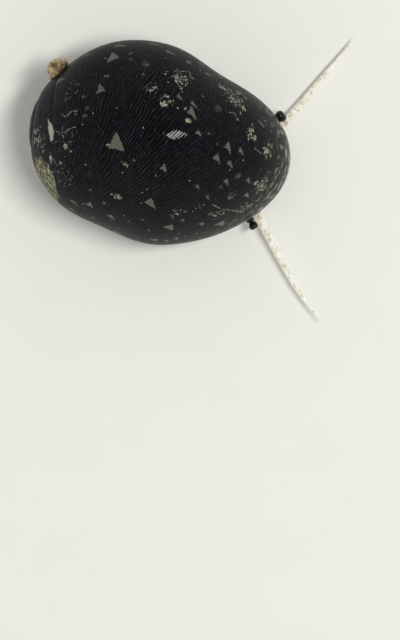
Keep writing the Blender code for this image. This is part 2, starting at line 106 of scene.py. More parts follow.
# Pale tents on the back, each where it shows in the picture: pixels across and down, its width along the
# line of growth and its length as seen, in millimetres, how far its tip slants back, and its paleness.
TENTS = (
    (118.0, 142.5, 1.42, 1.3, 0.25, 1.0), (101.2, 88.9, 0.94, 0.63, 0.1, 0.8),
    (113.0, 57.0, 1.05, 0.8, 0.0, 1.0), (152.0, 203.2, 0.71, 0.96, 0.2, 1.0),
    (170.0, 228.0, 0.8, 0.62, 0.0, 1.1), (193.8, 111.6, 0.6, 1.0, 0.6, 0.95),
    (195.0, 104.0, 0.3, 0.8, 0.7, 0.9), (180.5, 97.5, 0.35, 0.7, 0.3, 0.6),
    (200.0, 133.4, 0.4, 0.65, 0.1, 1.0), (230.0, 146.9, 0.56, 0.81, 0.55, 0.9),
    (242.1, 150.8, 0.42, 0.65, 0.3, 1.0), (217.8, 158.7, 0.63, 0.7, 0.0, 0.85),
    (231.2, 163.6, 0.42, 0.77, 0.35, 0.85), (228.0, 182.3, 0.4, 0.65, 0.45, 0.95),
    (249.4, 180.9, 0.38, 0.5, 0.5, 1.0), (247.6, 195.2, 0.4, 0.45, 0.1, 1.3),
    (164.5, 168.5, 0.5, 0.65, 0.2, 0.9), (221.0, 224.0, 0.84, 0.5, 0.0, 1.3),
    (201.8, 224.6, 0.5, 0.34, 0.0, 1.05), (210.5, 214.0, 0.5, 0.25, 0.0, 0.7),
    (183.0, 220.8, 0.36, 0.36, 0.0, 0.75), (185.0, 212.0, 0.6, 0.2, 0.0, 0.55),
    (173.5, 216.5, 0.26, 0.4, 0.3, 0.7), (198.0, 187.0, 0.3, 0.5, 0.3, 0.75),
    (208.0, 197.5, 0.34, 0.45, 0.2, 0.6), (221.0, 188.0, 0.35, 0.4, 0.0, 0.3),
    (217.5, 144.1, 0.28, 0.35, 0.2, 0.5), (209.5, 133.8, 0.28, 0.3, 0.0, 0.5),
    (142.3, 219.9, 0.28, 0.28, 0.0, 0.8), (149.0, 230.5, 0.3, 0.35, 0.2, 0.6),
    (154.5, 240.0, 0.75, 0.3, 0.0, 1.5), (167.5, 240.5, 0.4, 0.3, 0.0, 1.4),
    (177.5, 238.5, 0.55, 0.3, 0.0, 1.4), (197.5, 233.5, 0.35, 0.2, 0.0, 0.8),
    (231.0, 224.0, 0.6, 0.25, 0.0, 0.6), (209.3, 75.0, 0.26, 0.7, 0.3, 0.85),
    (90.5, 205.0, 0.4, 0.55, 0.2, 1.5), (134.5, 160.0, 0.26, 0.34, 0.0, 0.75),
    (108.5, 76.0, 0.34, 0.34, 0.0, 0.7), (83.5, 97.0, 0.45, 0.35, 0.0, 0.35),
    (87.5, 108.0, 0.45, 0.35, 0.0, 0.35), (84.5, 116.5, 0.4, 0.5, 0.3, 0.4),
    (75.5, 114.5, 0.4, 0.34, 0.0, 0.25), (66.0, 99.0, 0.5, 0.35, 0.0, 0.3),
    (131.5, 53.0, 0.45, 0.3, 0.0, 0.6), (131.0, 59.0, 0.35, 0.25, 0.0, 0.5),
    (143.0, 74.0, 0.35, 0.3, 0.0, 0.4), (104.0, 203.5, 0.3, 0.3, 0.0, 0.5),
)
TENT_BEND = 0.3
TENT_BACK = 0.4  # share of a tent's length that lies behind its place
TENT_FIELD = 0.5  # millimetres from a tent's edge within which its field is kept
TENT_TONE_REACH = 0.12  # millimetres outside a tent's edge to which its paleness reaches
TENT_TONE = 0.7  # where no tent is near
TENT_SEED = 11
LEAST_SEEN = 0.4  # a tent that is seen aslant is stretched by at most one over this
STRAY_TENTS = 90  # on the flanks that the list doesn't reach
STRAY_TENT_SPACING = 1.5
STRAY_TENT_STEEPNESS = 0.42  # they start where the surface's normal rises less than this
STRAY_TENT_TRIES = 9000
STRAY_TENT_WIDTHS = (0.3, 0.85)
STRAY_TENT_LENGTHS = (1.0, 1.6)  # over their width
STRAY_TENT_SLANTS = (0.0, 0.5)
STRAY_TENT_TONES = (0.5, 1.05)
SPOTS = ((146.0, 64.0, 0.42), (218.0, 108.5, 0.42), (237.0, 176.5, 0.4))  # picture pixels, radius in millimetres
SPOT_CORE = 0.3  # share of its radius from which a spot fades
SCUFF_CORE = 0.2

# Worn places, in picture pixels: flakes with their radius in millimetres, scuffed patches with that and their
# strength, and scratches through a few points.
FLAKES = (
    (163.5, 103.5, 0.26), (169.5, 101.0, 0.16), (175.5, 81.0, 0.12), (181.0, 87.5, 0.12),
    (188.5, 120.8, 0.22), (244.0, 108.5, 0.24), (240.5, 113.5, 0.13), (185.0, 109.0, 0.1),
    (178.0, 108.0, 0.08), (85.0, 164.0, 0.09), (165.0, 74.0, 0.1), (166.5, 71.0, 0.08),
    (145.5, 102.5, 0.09), (65.5, 146.0, 0.2), (71.5, 151.0, 0.12), (35.0, 131.0, 0.2),
    (34.0, 143.0, 0.14), (256.0, 182.0, 0.22), (43.0, 152.0, 0.12), (50.5, 158.0, 0.14),
    (61.0, 162.5, 0.14), (107.5, 145.0, 0.12), (119.0, 198.0, 0.16), (112.0, 194.0, 0.1),
    (105.0, 203.0, 0.1),
)
SCUFFED = (
    (236.0, 101.0, 1.4, 1.0), (184.0, 80.0, 1.1, 1.0), (63.0, 142.0, 1.9, 0.3), (64.0, 178.0, 1.8, 0.3),
    (126.0, 164.0, 0.5, 0.9), (117.0, 196.0, 0.6, 0.9), (252.0, 135.0, 0.9, 1.0),
    (262.0, 186.0, 1.2, 1.0), (152.0, 88.0, 0.7, 0.9), (200.0, 206.0, 0.6, 0.6), (38.0, 140.0, 1.5, 0.8),
    (245.0, 208.0, 1.2, 0.8), (218.0, 214.0, 1.0, 0.7), (268.0, 150.0, 1.1, 1.0), (225.0, 88.0, 0.9, 0.9),
    (176.0, 212.0, 0.7, 0.6), (168.0, 100.0, 0.8, 0.7), (232.0, 196.0, 0.6, 0.7), (72.0, 88.0, 1.3, 0.25),
    (80.0, 205.0, 1.0, 0.3),
)
SCRATCHES = (
    ((62.0, 114.5), (65.0, 117.0), (68.5, 114.0), (72.0, 111.0), (77.0, 111.0)),
    ((57.0, 131.5), (60.0, 132.5), (64.5, 132.5), (68.5, 129.5), (75.0, 127.0)),
    ((182.0, 71.5), (187.0, 71.0), (190.0, 72.0), (190.5, 76.0), (193.5, 79.0)),
    ((171.5, 77.0), (174.0, 75.5), (176.0, 80.0), (179.0, 86.0), (182.0, 88.0), (182.5, 92.0)),
    ((175.0, 71.5), (177.5, 69.5), (179.5, 72.0)), ((254.5, 148.0), (258.0, 151.0), (261.0, 153.5)),
    ((259.0, 121.0), (263.5, 126.5)), ((252.0, 124.0), (254.0, 131.0)), ((231.0, 97.5), (235.0, 102.5)),
    ((229.5, 112.5), (234.0, 113.0), (238.0, 120.0)), ((236.0, 94.0), (242.0, 93.0), (246.0, 99.0)),
    ((52.0, 158.0), (57.0, 165.0)), ((49.5, 156.0), (50.5, 164.0)),
    ((218.0, 233.0), (214.0, 238.0), (208.0, 240.0)), ((212.0, 204.5), (219.0, 208.0)),
    ((224.0, 209.5), (238.0, 211.0)), ((116.0, 195.0), (119.0, 199.0), (122.5, 198.0)),
)
SCRATCH_REACH = 3.0  # pixels to each side over which a scratch's field is kept
SCRATCH_END_REACH = 0.6  # pixels past its ends
SPLASHES = (  # white flashes beside the suture, each an outline in picture pixels
    ((48.0, 119.5), (52.3, 125.0), (54.0, 131.5), (53.5, 138.0), (51.8, 144.0), (49.6, 138.0), (48.0, 128.0)),
    ((50.3, 154.0), (51.8, 156.0), (51.8, 162.0), (50.6, 163.5), (49.8, 158.0)),
)
SPLASH_RISE = 0.1  # of the normal, where a splash may lie
LIP_SPAN = (130.0, 142.0, 168.0, 182.0)  # picture pixels down, where the pale edge of the lip shows most
LIP_WIDENING = 1.1  # millimetres
MARGIN_LEVELS = (0.5, 3.1)  # over the rim, between which the lip's pale edge dies out
FRONT_REACH = (4.0, 8.5)  # forward of the middle, between which the front's wear sets in
FRONT_LEVELS = (9.5, 3.0)  # over the rim, and likewise downwards
BARE_PLACES = ((45.0, 177.0), (55.0, 196.0))  # picture pixels, on the spire
BARE_REACH = (0.9, 2.2)
BLUE_REACH = (0.3, 2.6)  # from the suture, outside the spire
BLUE_ON_SPIRE = 0.8
BLUE_FADES = (0.6, 1.05)  # shares of the radius at which the suture ends
SEAM_WIDTHS = (0.04, 0.14)

# The head and the snout. Places along the body are y, and negative towards the front.
HEAD_BACK_Y = -3.9
HEAD_FRONT_Y = -8.3
HEAD_HALF_WIDTH = 3.6
HEAD_BOTTOM = 1.25
HEAD_TOP = 3.1
HEAD_SINK = 0.168  # how much lower its front lies
HEAD_SQUARENESS = 0.85  # a power: below 1 the outline is squarer than an oval
HEAD_AROUND = 64
HEAD_ROOT = (1.2, 2.4, 0.6)  # its first outline: how far behind, half its width, share of its height
HEAD_STATIONS = (  # shares of its length, width and height
    (0.0, 0.8, 0.72), (0.18, 0.9, 0.92), (0.42, 0.97, 1.0), (0.7, 1.0, 0.94), (0.9, 0.98, 0.85), (0.99, 0.91, 0.66),
)
SNOUT_FRONT_Y = -9.55
SNOUT_BACK_Y = -7.5
SNOUT_HALF_WIDTH = 3.1
SNOUT_BOTTOM = 0.22
SNOUT_TOP = 1.0
SNOUT_SQUARENESS = 0.8
SNOUT_STATIONS = (0.0, 0.2, 0.4, 0.55, 0.7, 0.82, 0.9, 0.96, 0.985)
SNOUT_BLUNTNESS = 0.45
SNOUT_THINNING = 0.45
SNOUT_NOTCH = (0.35, 0.5)  # its depth and half its width
THROAT_LEVEL = 1.25
THROAT_HALF_HEIGHT = 0.75
THROAT_SQUARENESS = 0.7
THROAT = ((-6.6, 2.6), (-5.0, 3.1), (-3.0, 3.3), (-1.0, 2.6))  # place along it, half its width
BRIDGE = ((-6.8, 1.7, 2.4, 0.5), (-7.6, 1.3, 2.7, 0.55), (-8.2, 0.9, 2.5, 0.4))  # place, level, half sizes
NECK_AROUND = 48

# The mantle.
MANTLE_INSET = 0.42
MANTLE_DEPTH = 4.85
MANTLE_WIDTH = 0.96  # share of the aperture's
MANTLE_ROUNDING = 0.6
MANTLE_FRONT = 0.34  # behind the head's back
MANTLE_RINGS = (0.0, 0.12, 0.25, 0.5, 0.7, 0.84)  # shares of a quarter turn
MANTLE_AROUND = 160

# The foot.
SOLE_HALF_LENGTH = 7.6
SOLE_HALF_WIDTH = 4.7
SOLE_MIDDLE_Y = 0.35
SOLE_POWERS = (2.4, 0.55)  # of its outline, blunter than an oval
SOLE_TAPER = 0.14  # how much wider its front is
SOLE_REACH = 0.985  # share of its length that the outlines span
FOOT_STATIONS = 110
FOOT_HEIGHT = 1.78
FOOT_FRONT_HEIGHT = 0.85
FOOT_FRONT_STEP = (-0.6, 0.4)  # from the head's back
FOOT_END_HEIGHT = 0.35  # share of its height that is left at its ends
FOOT_END_RISE = 1.3
FOOT_SIDE = (  # shares of half its width and of its height, from the sole's middle up to the back's
    (0.0, 0.0), (0.3, 0.0), (0.6, 0.0), (0.85, 0.0), (0.95, 0.0), (0.99, 0.06), (1.0, 0.14), (0.97, 0.24),
    (0.92, 0.36), (0.86, 0.54), (0.78, 0.76), (0.64, 0.93), (0.4, 1.0), (0.0, 1.0),
)
FRILL_DEPTH = 0.008  # share of half its width
FRILL_TOP = 0.3  # share of its height
FRILL_WAVES = (5.5, 9.1)  # radians per millimetre
TAIL_HEIGHT = 0.8
TAIL_STEP_Y = (1.6, 2.35)

# The feelers, and the eyes with their stalks, which are given for the left side and mirrored.
TENTACLE_ROOT_RADIUS = 0.4
TENTACLE_LEAST_RADIUS = 0.25
TENTACLE_TIP_RADIUS = 0.07
TENTACLE_SLIM_FROM = 0.62
TENTACLE_RINGS = 60
TENTACLE_AROUND = 16
TENTACLE_START = (2.9, -8.2, 1.7)  # inside the head
TENTACLE_START_SWELLS = (1.2, 1.1)
LEFT_TENTACLE = (
    (3.78, -8.84, 1.35), (5.6, -9.8, 1.35), (7.7, -10.8, 1.25), (9.7, -11.75, 1.2), (11.7, -12.7, 1.3),
)
RIGHT_TENTACLE = (
    (-3.72, -8.88, 1.35), (-5.35, -10.3, 1.3), (-7.35, -12.1, 1.15), (-8.95, -13.75, 1.1), (-10.3, -15.5, 1.2),
)
STALK_ROOT = (3.72, -7.9, 1.95)
STALK_TIP = (4.05, -8.22, 2.1)
STALK_RINGS = ((-1.6, 0.45), (0.0, 0.36), (0.5, 0.34), (0.95, 0.33), (1.2, 0.28))  # share of the way, radius
STALK_AROUND = 20
EYE_RADIUS = 0.34
EYE_GAP = 0.15
EYE_SINK = 0.05
EYE_END = 1.5  # radians from its middle to its last ring
EYE_RINGS = 41
EYE_AROUND = 48
EYE_LOBES = {"left": 1.22, "right": 0.94}  # the left one's lobes are swollen in the picture
LOBE_DEPTHS = (0.13, 0.07)  # shares of the radius, round the eye and along it
LOBE_TURN = 0.6

# The skin over all of the flesh, and where each of its colours sets in.
SKIN_INSET = 0.04
SKIN_VOXEL = 0.06
SKIN_ROUNDS = 6
CURVE_SAMPLES = 200
FEELER_SAMPLES = 80
FEELER_ROOT_SAMPLES = 4  # those that may be eased as the head is
FEELER_HOLD = 0.8
FEELER_HOLD_REACH = 0.5
FEELER_REACH = (0.5, 0.9)
UPPER_SIDE = (0.55, 0.95)  # rise of the normal along the feelers' middle
FACE_Y = (-5.6, -6.8)
FACE_LEVELS = (0.15, 0.3)
FACE_LINE_SPACING = 0.3307
SOLE_LEVELS = (0.12, 0.05)
SOLE_FACING = (-0.3, -0.8)
SKIRT_WIDTHS = (0.55, 0.15)
SKIRT_LEVELS = (0.5, 0.2)
STALK_REACH = (0.35, 0.7)
MANTLE_LEVELS = (2.0, 2.35)
MANTLE_Y = (-4.6, -3.9)
TAN_PLACES = ((285.5, 124.0), (258.5, 217.0))  # picture pixels, at the feelers' roots
TAN_REACH = (0.5, 5.0)  # picture pixels
TAN_STRENGTH = 0.6

OPERCULUM_MIDDLE = (-0.35, 4.9)
OPERCULUM_HALF_WIDTH = 3.5
OPERCULUM_HALF_LENGTH = 2.4
OPERCULUM_THICKNESS = 0.5
OPERCULUM_BACK = 0.72
OPERCULUM_LEVEL = 1.1
OPERCULUM_RIDGES = 13  # the real ones are finer, and these are as coarse as they need to be to show
OPERCULUM_RIDGE_HEIGHT = 0.03  # share of its thickness
OPERCULUM_AROUND = 120
OPERCULUM_SIDE = ((0.0, 0.0), (0.5, 0.0), (0.94, 0.0), (0.985, 0.12), (1.0, 0.4), (0.99, 0.66), (0.965, 0.8))
OPERCULUM_TOP_FROM = 0.94
OPERCULUM_TOP_RINGS = 60
OPERCULUM_TOP = (0.84, 0.12)  # shares of its thickness: the top's edge, and the rise from there to the middle

TUFT_TURN = math.radians(68.5)
TUFT_LEVEL = 5.6
TUFT_SEED = 5
TUFT_SPREAD = 0.3
TUFT_SHIFT = 0.05
TUFT_SIZE = (0.85, 0.9)  # sideways and upwards
TUFT_SHADE_MIDDLE = (0.75, -0.05)  # outwards and sideways: the clump's middle, where painted shade darkens it most
TUFT_SHADE = (-0.25, 0.5)  # distances from there over which the painted shade fades out
STRANDS = 620
STRAND_RINGS = 7
STRAND_AROUND = 4
STRAND_DEPTH = 0.1
STRAND_AIM = (0.9, 1.5)
STRAND_FAN = (0.5, 0.6)  # how much it leans sideways and upwards, for each millimetre from the middle
STRAND_STRAY = (0.22, 0.3)
STRAND_LEAN = 0.1
STRAND_CURL = 0.35
STRAND_LENGTHS = (0.32, 0.62)
STRAND_RADII = (0.035, 0.055)
STRAND_THINNING = 0.7
GRAINS = 700  # silt is finer, and its grains are as coarse as they need to be to show
GRAIN_SHELL = (0.75, 1.0)  # share of the clump's radius within which they lie
GRAIN_OUTWARD = (0.5, 0.55)
GRAIN_SIDEWAYS = 0.65
GRAIN_TOP = 0.3
GRAIN_UPWARD = 0.8
GRAIN_RADII = (0.04, 0.11)
GRAIN_UNEVENNESS = (0.8, 1.2)
GRAIN_OUTLINE = ((-1.0, 0.3), (-0.7, 0.75), (0.0, 1.0), (0.7, 0.75), (1.0, 0.3))  # height and width
GRAIN_AROUND = 6
TUFT_MAP_WIDTH = 6.0  # millimetres across the whole of the map
STRAND_MAP_SIZE = 0.0015 / 2.5  # share of the map's width for each millimetre
STRAND_MAP_SLANT = 0.3

# The camera looks straight down from far off, with the snail in the upper half of the frame.
MM_PER_PIXEL = 20 / 260
HEADING = math.radians(14)  # the snail's heading, below the picture's right
FRAME_PIXELS = (400, 640)
SHELL_PIXEL = (160, 143)
LEAST_RISE = 0.02  # of the normal, on what the camera sees
OUT_OF_SIGHT = 1e6
CAMERA_HEIGHT = 420.0
CAMERA_CLIP = (0.01, 5.0)  # metres
FOCUS_LEVEL = 6.0
SENSOR = 36.0
FLOOR_HALF_WIDTH = 400.0
FLOOR_CELLS = 8

KEY_ASIDE = 84.0
KEY_HEIGHT = 320.0
KEY_AIM = (0.0, 0.0, 5.0)
KEY_SIZE = (110.0, 36.0)
KEY_ROLL = math.radians(-47)  # so that its long side lies along the ridges where it shines
KEY_POWER = 0.57  # watts
ROOM_HORIZON = 0.9
ROOM_ZENITH = 0.33

SHELL_ROUGHNESS = 0.5
SHELL_GLAZE = 0.2
RIDGE_RELIEF = 0.0028  # millimetres, as all reliefs are
FLECK_RELIEF = 0.004
WORN_DEPTH = 0.008
CHALK_RELIEF = 0.1


def linear(code):
    """An sRGB hex colour as linear RGBA."""
    channels = [int(code[start : start + 2], 16) / 255 for start in (1, 3, 5)]
    return tuple(c / 12.92 if c <= 0.04045 else ((c + 0.055) / 1.055) ** 2.4 for c in channels) + (1.0,)


SMOOTH = {"interpolation_type": "SMOOTHSTEP"}  # for a MapRange node that eases in and out


def add_node(tree, kind, inputs=None, stops=None, **settings):
    """Adds a shader node. An input is a value, a hex colour, a node's output, or a node for its first output."""
    made = tree.nodes.new("ShaderNode" + kind)
    for key, value in settings.items():
        setattr(made, key, value)
    for key, value in (inputs or {}).items():
        if isinstance(value, bpy.types.Node):
            value = next(output for output in value.outputs if output.enabled)
        if isinstance(value, bpy.types.NodeSocket):
            tree.links.new(value, made.inputs[key])
        else:
            made.inputs[key].default_value = linear(value) if isinstance(value, str) else value
    for index, (position, code) in enumerate(stops or ()):
        ramp = made.color_ramp.elements
        stop = ramp[index] if index < 2 else ramp.new(position)
        stop.position = position
        stop.color = linear(code)
    return made


def start_finish(name):
    """A material with an empty tree, and the object's own coordinates in millimetres."""
    made = bpy.data.materials.new(name)
    made.use_nodes = True
    tree = made.node_tree
    tree.nodes.clear()
    place = add_node(tree, "TexCoord").outputs["Object"]
    return made, tree, add_node(tree, "VectorMath", {0: place, "Scale": 1 / MM}, operation="SCALE")


def lay_over(tree, base, *layers):
    """Lays each colour over those before it, by its share of 1."""
    so_far = base
    for share, colour in layers:
        so_far = add_node(tree, "Mix", {"Factor": share, 6: so_far, 7: colour}, data_type="RGBA")
    return so_far


def finish_with(tree, relief, strength, inputs):
    """The surface itself, with relief in millimetres as its bump."""
    bump = add_node(tree, "Bump", {"Height": relief, "Distance": MM, "Strength": strength})
    surface = add_node(tree, "BsdfPrincipled", {"Normal": bump, **inputs})
    add_node(tree, "OutputMaterial", {"Surface": surface})
    return bump, surface


def smoothstep(low, high, value):
    share = np.clip((value - low) / (high - low), 0.0, 1.0)
    return share * share * (3.0 - 2.0 * share)


def mesh_object(name, points, faces, finish):
    mesh = bpy.data.meshes.new(name)
    mesh.from_pydata((np.asarray(points, float) * MM).tolist(), [], faces)
    mesh.validate()
    mesh.shade_smooth()
    made = bpy.data.objects.new(name, mesh)
    bpy.context.scene.collection.objects.link(made)
    mesh.materials.append(finish)
    return made


def face_outwards(made):
    """Turns every face round if the body's volume comes out negative."""
    mesh = made.data
    mesh.calc_loop_triangles()
    points = np.array([vertex.co for vertex in mesh.vertices], float)
    corners = np.array([triangle.vertices for triangle in mesh.loop_triangles])
    if np.linalg.det(points[corners]).sum() < 0:
        mesh.flip_normals()


def keep_field(made, name, values):
    """Stores one number per vertex for the material to read."""
    field = made.data.attributes.new(name, "FLOAT", "POINT")
    field.data.foreach_set("value", np.ascontiguousarray(values, np.float32))


def vectors_of(items, name):
    flat = np.empty(len(items) * 3, np.float32)
    items.foreach_get(name, flat)
    return flat.reshape(-1, 3).astype(float)


def points_of(made):
    return vectors_of(made.data.vertices, "co") / MM


def normals_of(made):
    return vectors_of(made.data.vertex_normals, "vector")


def corner_vertices(mesh):
    """The vertex at each corner of each face."""
    found = np.empty(len(mesh.loops), np.int32)
    mesh.loops.foreach_get("vertex_index", found)
    return found


def join_piece(points, faces, piece):
    """Adds one body's points and faces to those of others."""
    piece_points, piece_faces = piece
    faces.extend(tuple(index + len(points) for index in face) for face in piece_faces)
    points.extend(piece_points)


def on_side(point, sign):
    """A point that is given for the left side: the same for a sign of 1, and mirrored for -1."""
    return np.array((point[0] * sign, *point[1:]))


def loft(rings):
    """Points and faces of one closed body through rings of points. A ring of one point is a pole."""
    points = []
    starts = []
    for ring in rings:
        starts.append(len(points))
        points.extend(np.asarray(ring, float).tolist())
    faces = []
    for index in range(len(rings) - 1):
        faces.extend(band(starts[index], len(rings[index]), starts[index + 1], len(rings[index + 1])))
    if len(rings[0]) > 1:
        faces.append(tuple(range(len(rings[0]))))
    if len(rings[-1]) > 1:
        faces.append(tuple(reversed(range(starts[-1], len(points)))))
    return points, faces


def band(first, first_count, second, second_count):
    """The faces between two neighbouring rings."""
    count = max(first_count, second_count)
    faces = []
    for step in range(count):
        after = (step + 1) % count
        if first_count == 1:
            faces.append((first, second + step, second + after))
        elif second_count == 1:
            faces.append((first + step, second, first + after))
        else:
            faces.append((first + step, second + step, second + after, first + after))
    return faces


# The shell's surface, worked out as the solid is, on a finer mesh.


def plan_radius(turn):
    count = len(PLAN_RADII)
    waves = np.fft.rfft(np.array(PLAN_RADII)) / count
    total = np.full(np.shape(turn), waves[0].real)
    for order in range(1, count // 2):
        total = total + 2.0 * (waves[order].real * np.cos(order * turn) - waves[order].imag * np.sin(order * turn))
    return total + waves[count // 2].real * np.cos(count // 2 * turn)


def rim_plane(y):
    return RIM_HEIGHT - RIM_RISE * y


def widest_level(turn):
    return WIDEST_MEAN + WIDEST_SWING * np.cos(turn - AWAY_FROM_LIP)


def dome(turn, fall):
    """A point of the smooth dome. fall is 0 at the top, 1 at the widest level and 2 at the rim."""
    radius = plan_radius(turn)
    widest = widest_level(turn)
    rim_angle = np.arcsin(np.clip(widest / UNDER_DEPTH, 0.0, 0.98))
    above = fall <= 1.0
    angle = np.where(above, (1.0 - fall) * math.pi / 2, -(fall - 1.0) * rim_angle)
    depth = np.where(above, SHELL_HEIGHT - widest, UNDER_DEPTH)
    level = widest + depth * np.sin(angle)
    reach = radius * np.cos(angle)
    lean = np.clip(level / SHELL_HEIGHT, 0.0, 1.0) ** 2
    x = reach * np.cos(turn) + SUMMIT_SHIFT[0] * lean
    y = reach * np.sin(turn) + SUMMIT_SHIFT[1] * lean
    return np.stack([x, y, level + rim_plane(y)], -1)


def apex_frame():
    """The apex on the dome, with the directions out of it, to the right and up as seen from outside."""
    widest = float(widest_level(APEX_TURN))
    fall = 1.0 - math.asin((APEX_LEVEL - widest) / (SHELL_HEIGHT - widest)) / (math.pi / 2)
    step = 0.02
    middle = dome(np.array(APEX_TURN), np.array(fall))
    along = dome(np.array(APEX_TURN - step), np.array(fall)) - dome(np.array(APEX_TURN + step), np.array(fall))
    upward = dome(np.array(APEX_TURN), np.array(fall - step)) - dome(np.array(APEX_TURN), np.array(fall + step))
    out = np.cross(upward, along)
    out = -out / np.linalg.norm(out)
    if out @ np.array([math.cos(APEX_TURN), math.sin(APEX_TURN), 0.0]) < 0:
        out = -out
    up = upward - (upward @ out) * out
    up = up / np.linalg.norm(up)
    return middle, out, np.cross(-out, up), up


def spiral_clock(points):
    """The angle round the apex, clockwise from the top as seen from outside, up to the suture's end."""
    middle, _, right, up = apex_frame()
    clock = np.arctan2((points - middle) @ right, (points - middle) @ up)
    return np.where(clock > SUTURE_END_TURN, clock - 2 * math.pi, clock)


def spiral_place(points):
    """Distance from the apex, turns beyond the suture's end, and distance to the suture line."""
    middle, _, right, up = apex_frame()
    across = (points - middle) @ right
    rise = (points - middle) @ up
    radius = np.sqrt(across**2 + rise**2) + 1e-6
    growth = math.log(WHORL_GROWTH)
    turns = np.log(radius / SUTURE_END_RADIUS) / growth + (SUTURE_END_TURN - spiral_clock(points)) / (2 * math.pi)
    distance = radius * growth * np.abs(turns - np.minimum(np.round(turns), 0.0))
    return radius, turns, distance


def spire_lift(points):
    """How far the spire's whorls stand out of the dome, and the suture sinks in, at each point."""
    out = apex_frame()[1]
    radius, turns, distance = spiral_place(points)
    size = np.clip(radius / FULL_WHORL_RADIUS, LEAST_WHORL_SIZE, 1.0)
    groove = SUTURE_DEPTH * size * np.exp(-((distance / (SUTURE_WIDTH * size)) ** 2))
    groove = groove * suture_strength(radius)
    swell = np.where(turns < 0, WHORL_SWELL * size * np.sin(math.pi * (turns % 1.0)), 0.0)
    swell = swell * (1.0 - smoothstep(SUTURE_END_TURN - SWELL_FADE, SUTURE_END_TURN, spiral_clock(points)))
    bump = APEX_BUMP * np.exp(-((radius / APEX_BUMP_RADIUS) ** 2))
    facing = smoothstep(0.0, SPIRE_REACH, (points - np.array(SPIRE_CENTRE)) @ out)
    return (bump + swell - groove) * facing, out


def suture_strength(radius):
    """1 along the suture, and 0 where it has died out."""
    fades, gone = SUTURE_FADES
    return 1.0 - smoothstep(SUTURE_END_RADIUS * fades, SUTURE_END_RADIUS * gone, radius)


def shell_surface(turn, fall):
    points = dome(turn, fall)
    lift, out = spire_lift(points)
    return points + lift[..., None] * out


def aperture_radius(turn, inset):
    """Distance from APERTURE_MIDDLE to the D-shaped edge, drawn in by inset, at an angle."""
    middle = np.array(APERTURE_MIDDLE)
    sweep = np.linspace(0.0, 2 * math.pi, RIM_SAMPLES)
    rim = shell_surface(sweep, np.full(sweep.shape, 2.0))[:, :2] - middle
    rim_turn = np.arctan2(rim[:, 1], rim[:, 0])
    order = np.argsort(rim_turn)
    reach = np.hypot(rim[:, 0], rim[:, 1])
    to_rim = np.interp(turn, rim_turn[order], reach[order], period=2 * math.pi) - inset
    normal = np.array([-math.sin(DECK_EDGE_TURN), math.cos(DECK_EDGE_TURN)])
    clear = (np.array(DECK_EDGE_POINT) - middle) @ normal - inset * DECK_INSET
    facing = np.cos(turn) * normal[0] + np.sin(turn) * normal[1]
    near = facing > LEAST_DECK_FACING
    to_deck = np.where(near, clear / np.maximum(facing, LEAST_DECK_FACING), OUT_OF_REACH)
    power = EDGE_CORNER_POWER
    return (to_rim**-power + to_deck**-power) ** (-1.0 / power)


def aperture_ring(turn, inset, scale, level):
    reach = aperture_radius(turn, inset) * scale
    x = APERTURE_MIDDLE[0] + reach * np.cos(turn)
    y = APERTURE_MIDDLE[1] + reach * np.sin(turn)
    return np.stack([x, y, rim_plane(y) + level], -1)


def growth_place(points):
    """Turn round the spine of the growth lines, and angle away from its end at the apex."""
    top = apex_frame()[0]
    out = top - np.array(GROWTH_FOOT)
    out = out / np.linalg.norm(out)
    up = np.array([0.0, 0.0, 1.0]) - out[2] * out
    up = up / np.linalg.norm(up)
    offset = points - (top - GROWTH_CENTRE_DEPTH * out)
    across = offset @ np.cross(-out, up)
    rise = offset @ up
    return np.arctan2(across, rise), np.arctan2(np.hypot(across, rise), offset @ out)


def growth_fall(away):
    """How far a line of growth has turned back at an angle from the apex."""
    steps = np.linspace(0.0, math.pi, GROWTH_SAMPLES)
    lean = np.interp(steps, GROWTH_AWAY, GROWTH_LEAN)
    fall = np.concatenate([[0.0], np.cumsum((lean[1:] + lean[:-1]) / 2 * np.diff(steps))])
    return np.interp(away, steps, fall)


def growth_slope(points, normals):
    """How fast growth goes on over the surface, as a vector in radians per millimetre."""
    step = 0.05
    first = np.cross(normals, (0.36, 0.48, 0.8))  # any direction that isn't along a normal
    first = first / np.linalg.norm(first, axis=1)[:, None]
    second = np.cross(normals, first)
    turn, away = growth_place(points)
    here = turn + growth_fall(away)
    slope = np.zeros_like(points)
    for tangent in (first, second):
        turn, away = growth_place(points + tangent * step)
        rise = (turn + growth_fall(away) - here + math.pi) % (2 * math.pi) - math.pi
        slope = slope + (rise / step)[:, None] * tangent
    return slope


def shell_rings():
    """The shell's rings from the summit down to the rim, over the lip and into the aperture."""
    even = np.linspace(0.0, 2 * math.pi, SHELL_AROUND, endpoint=False)
    turn = even + SPIRE_CROWDING * np.sin(even - APEX_TURN + math.pi)
    rings = [shell_surface(np.zeros(1), np.zeros(1))]
    skipped = SUMMIT_RINGS_LEFT_OUT
    above = np.linspace(0.0, 1.0, SHELL_RINGS * 2 // 3 + skipped)[skipped:]
    below = np.linspace(1.0, 2.0, SHELL_RINGS // 3 + 1)[1:]
    for fall in np.concatenate([above, below]):
        rings.append(shell_surface(turn, np.full(turn.shape, fall)))
    outer_count = len(rings)
    rim = rings[-1]
    inward = rim[:, :2] - np.array(APERTURE_MIDDLE)
    inner_turn = np.arctan2(inward[:, 1], inward[:, 0])
    edge = aperture_ring(inner_turn, LIP_THICKNESS, 1.0, 0.0)
    for share, lift in LIP_RINGS:
        rings.append(rim * (1 - share) + edge * share + np.array([0.0, 0.0, lift]))
    rings.append(edge + np.array([0.0, 0.0, LIP_ROUNDING]))
    for share in RECESS_RINGS:
        angle = share * math.pi / 2
        scale = math.cos(angle) ** RECESS_ROUNDING
        rings.append(aperture_ring(inner_turn, LIP_THICKNESS, scale, RECESS_DEPTH * math.sin(angle)))
    rings.append(aperture_ring(np.zeros(1), LIP_THICKNESS, 0.0, RECESS_DEPTH))
    return rings, outer_count


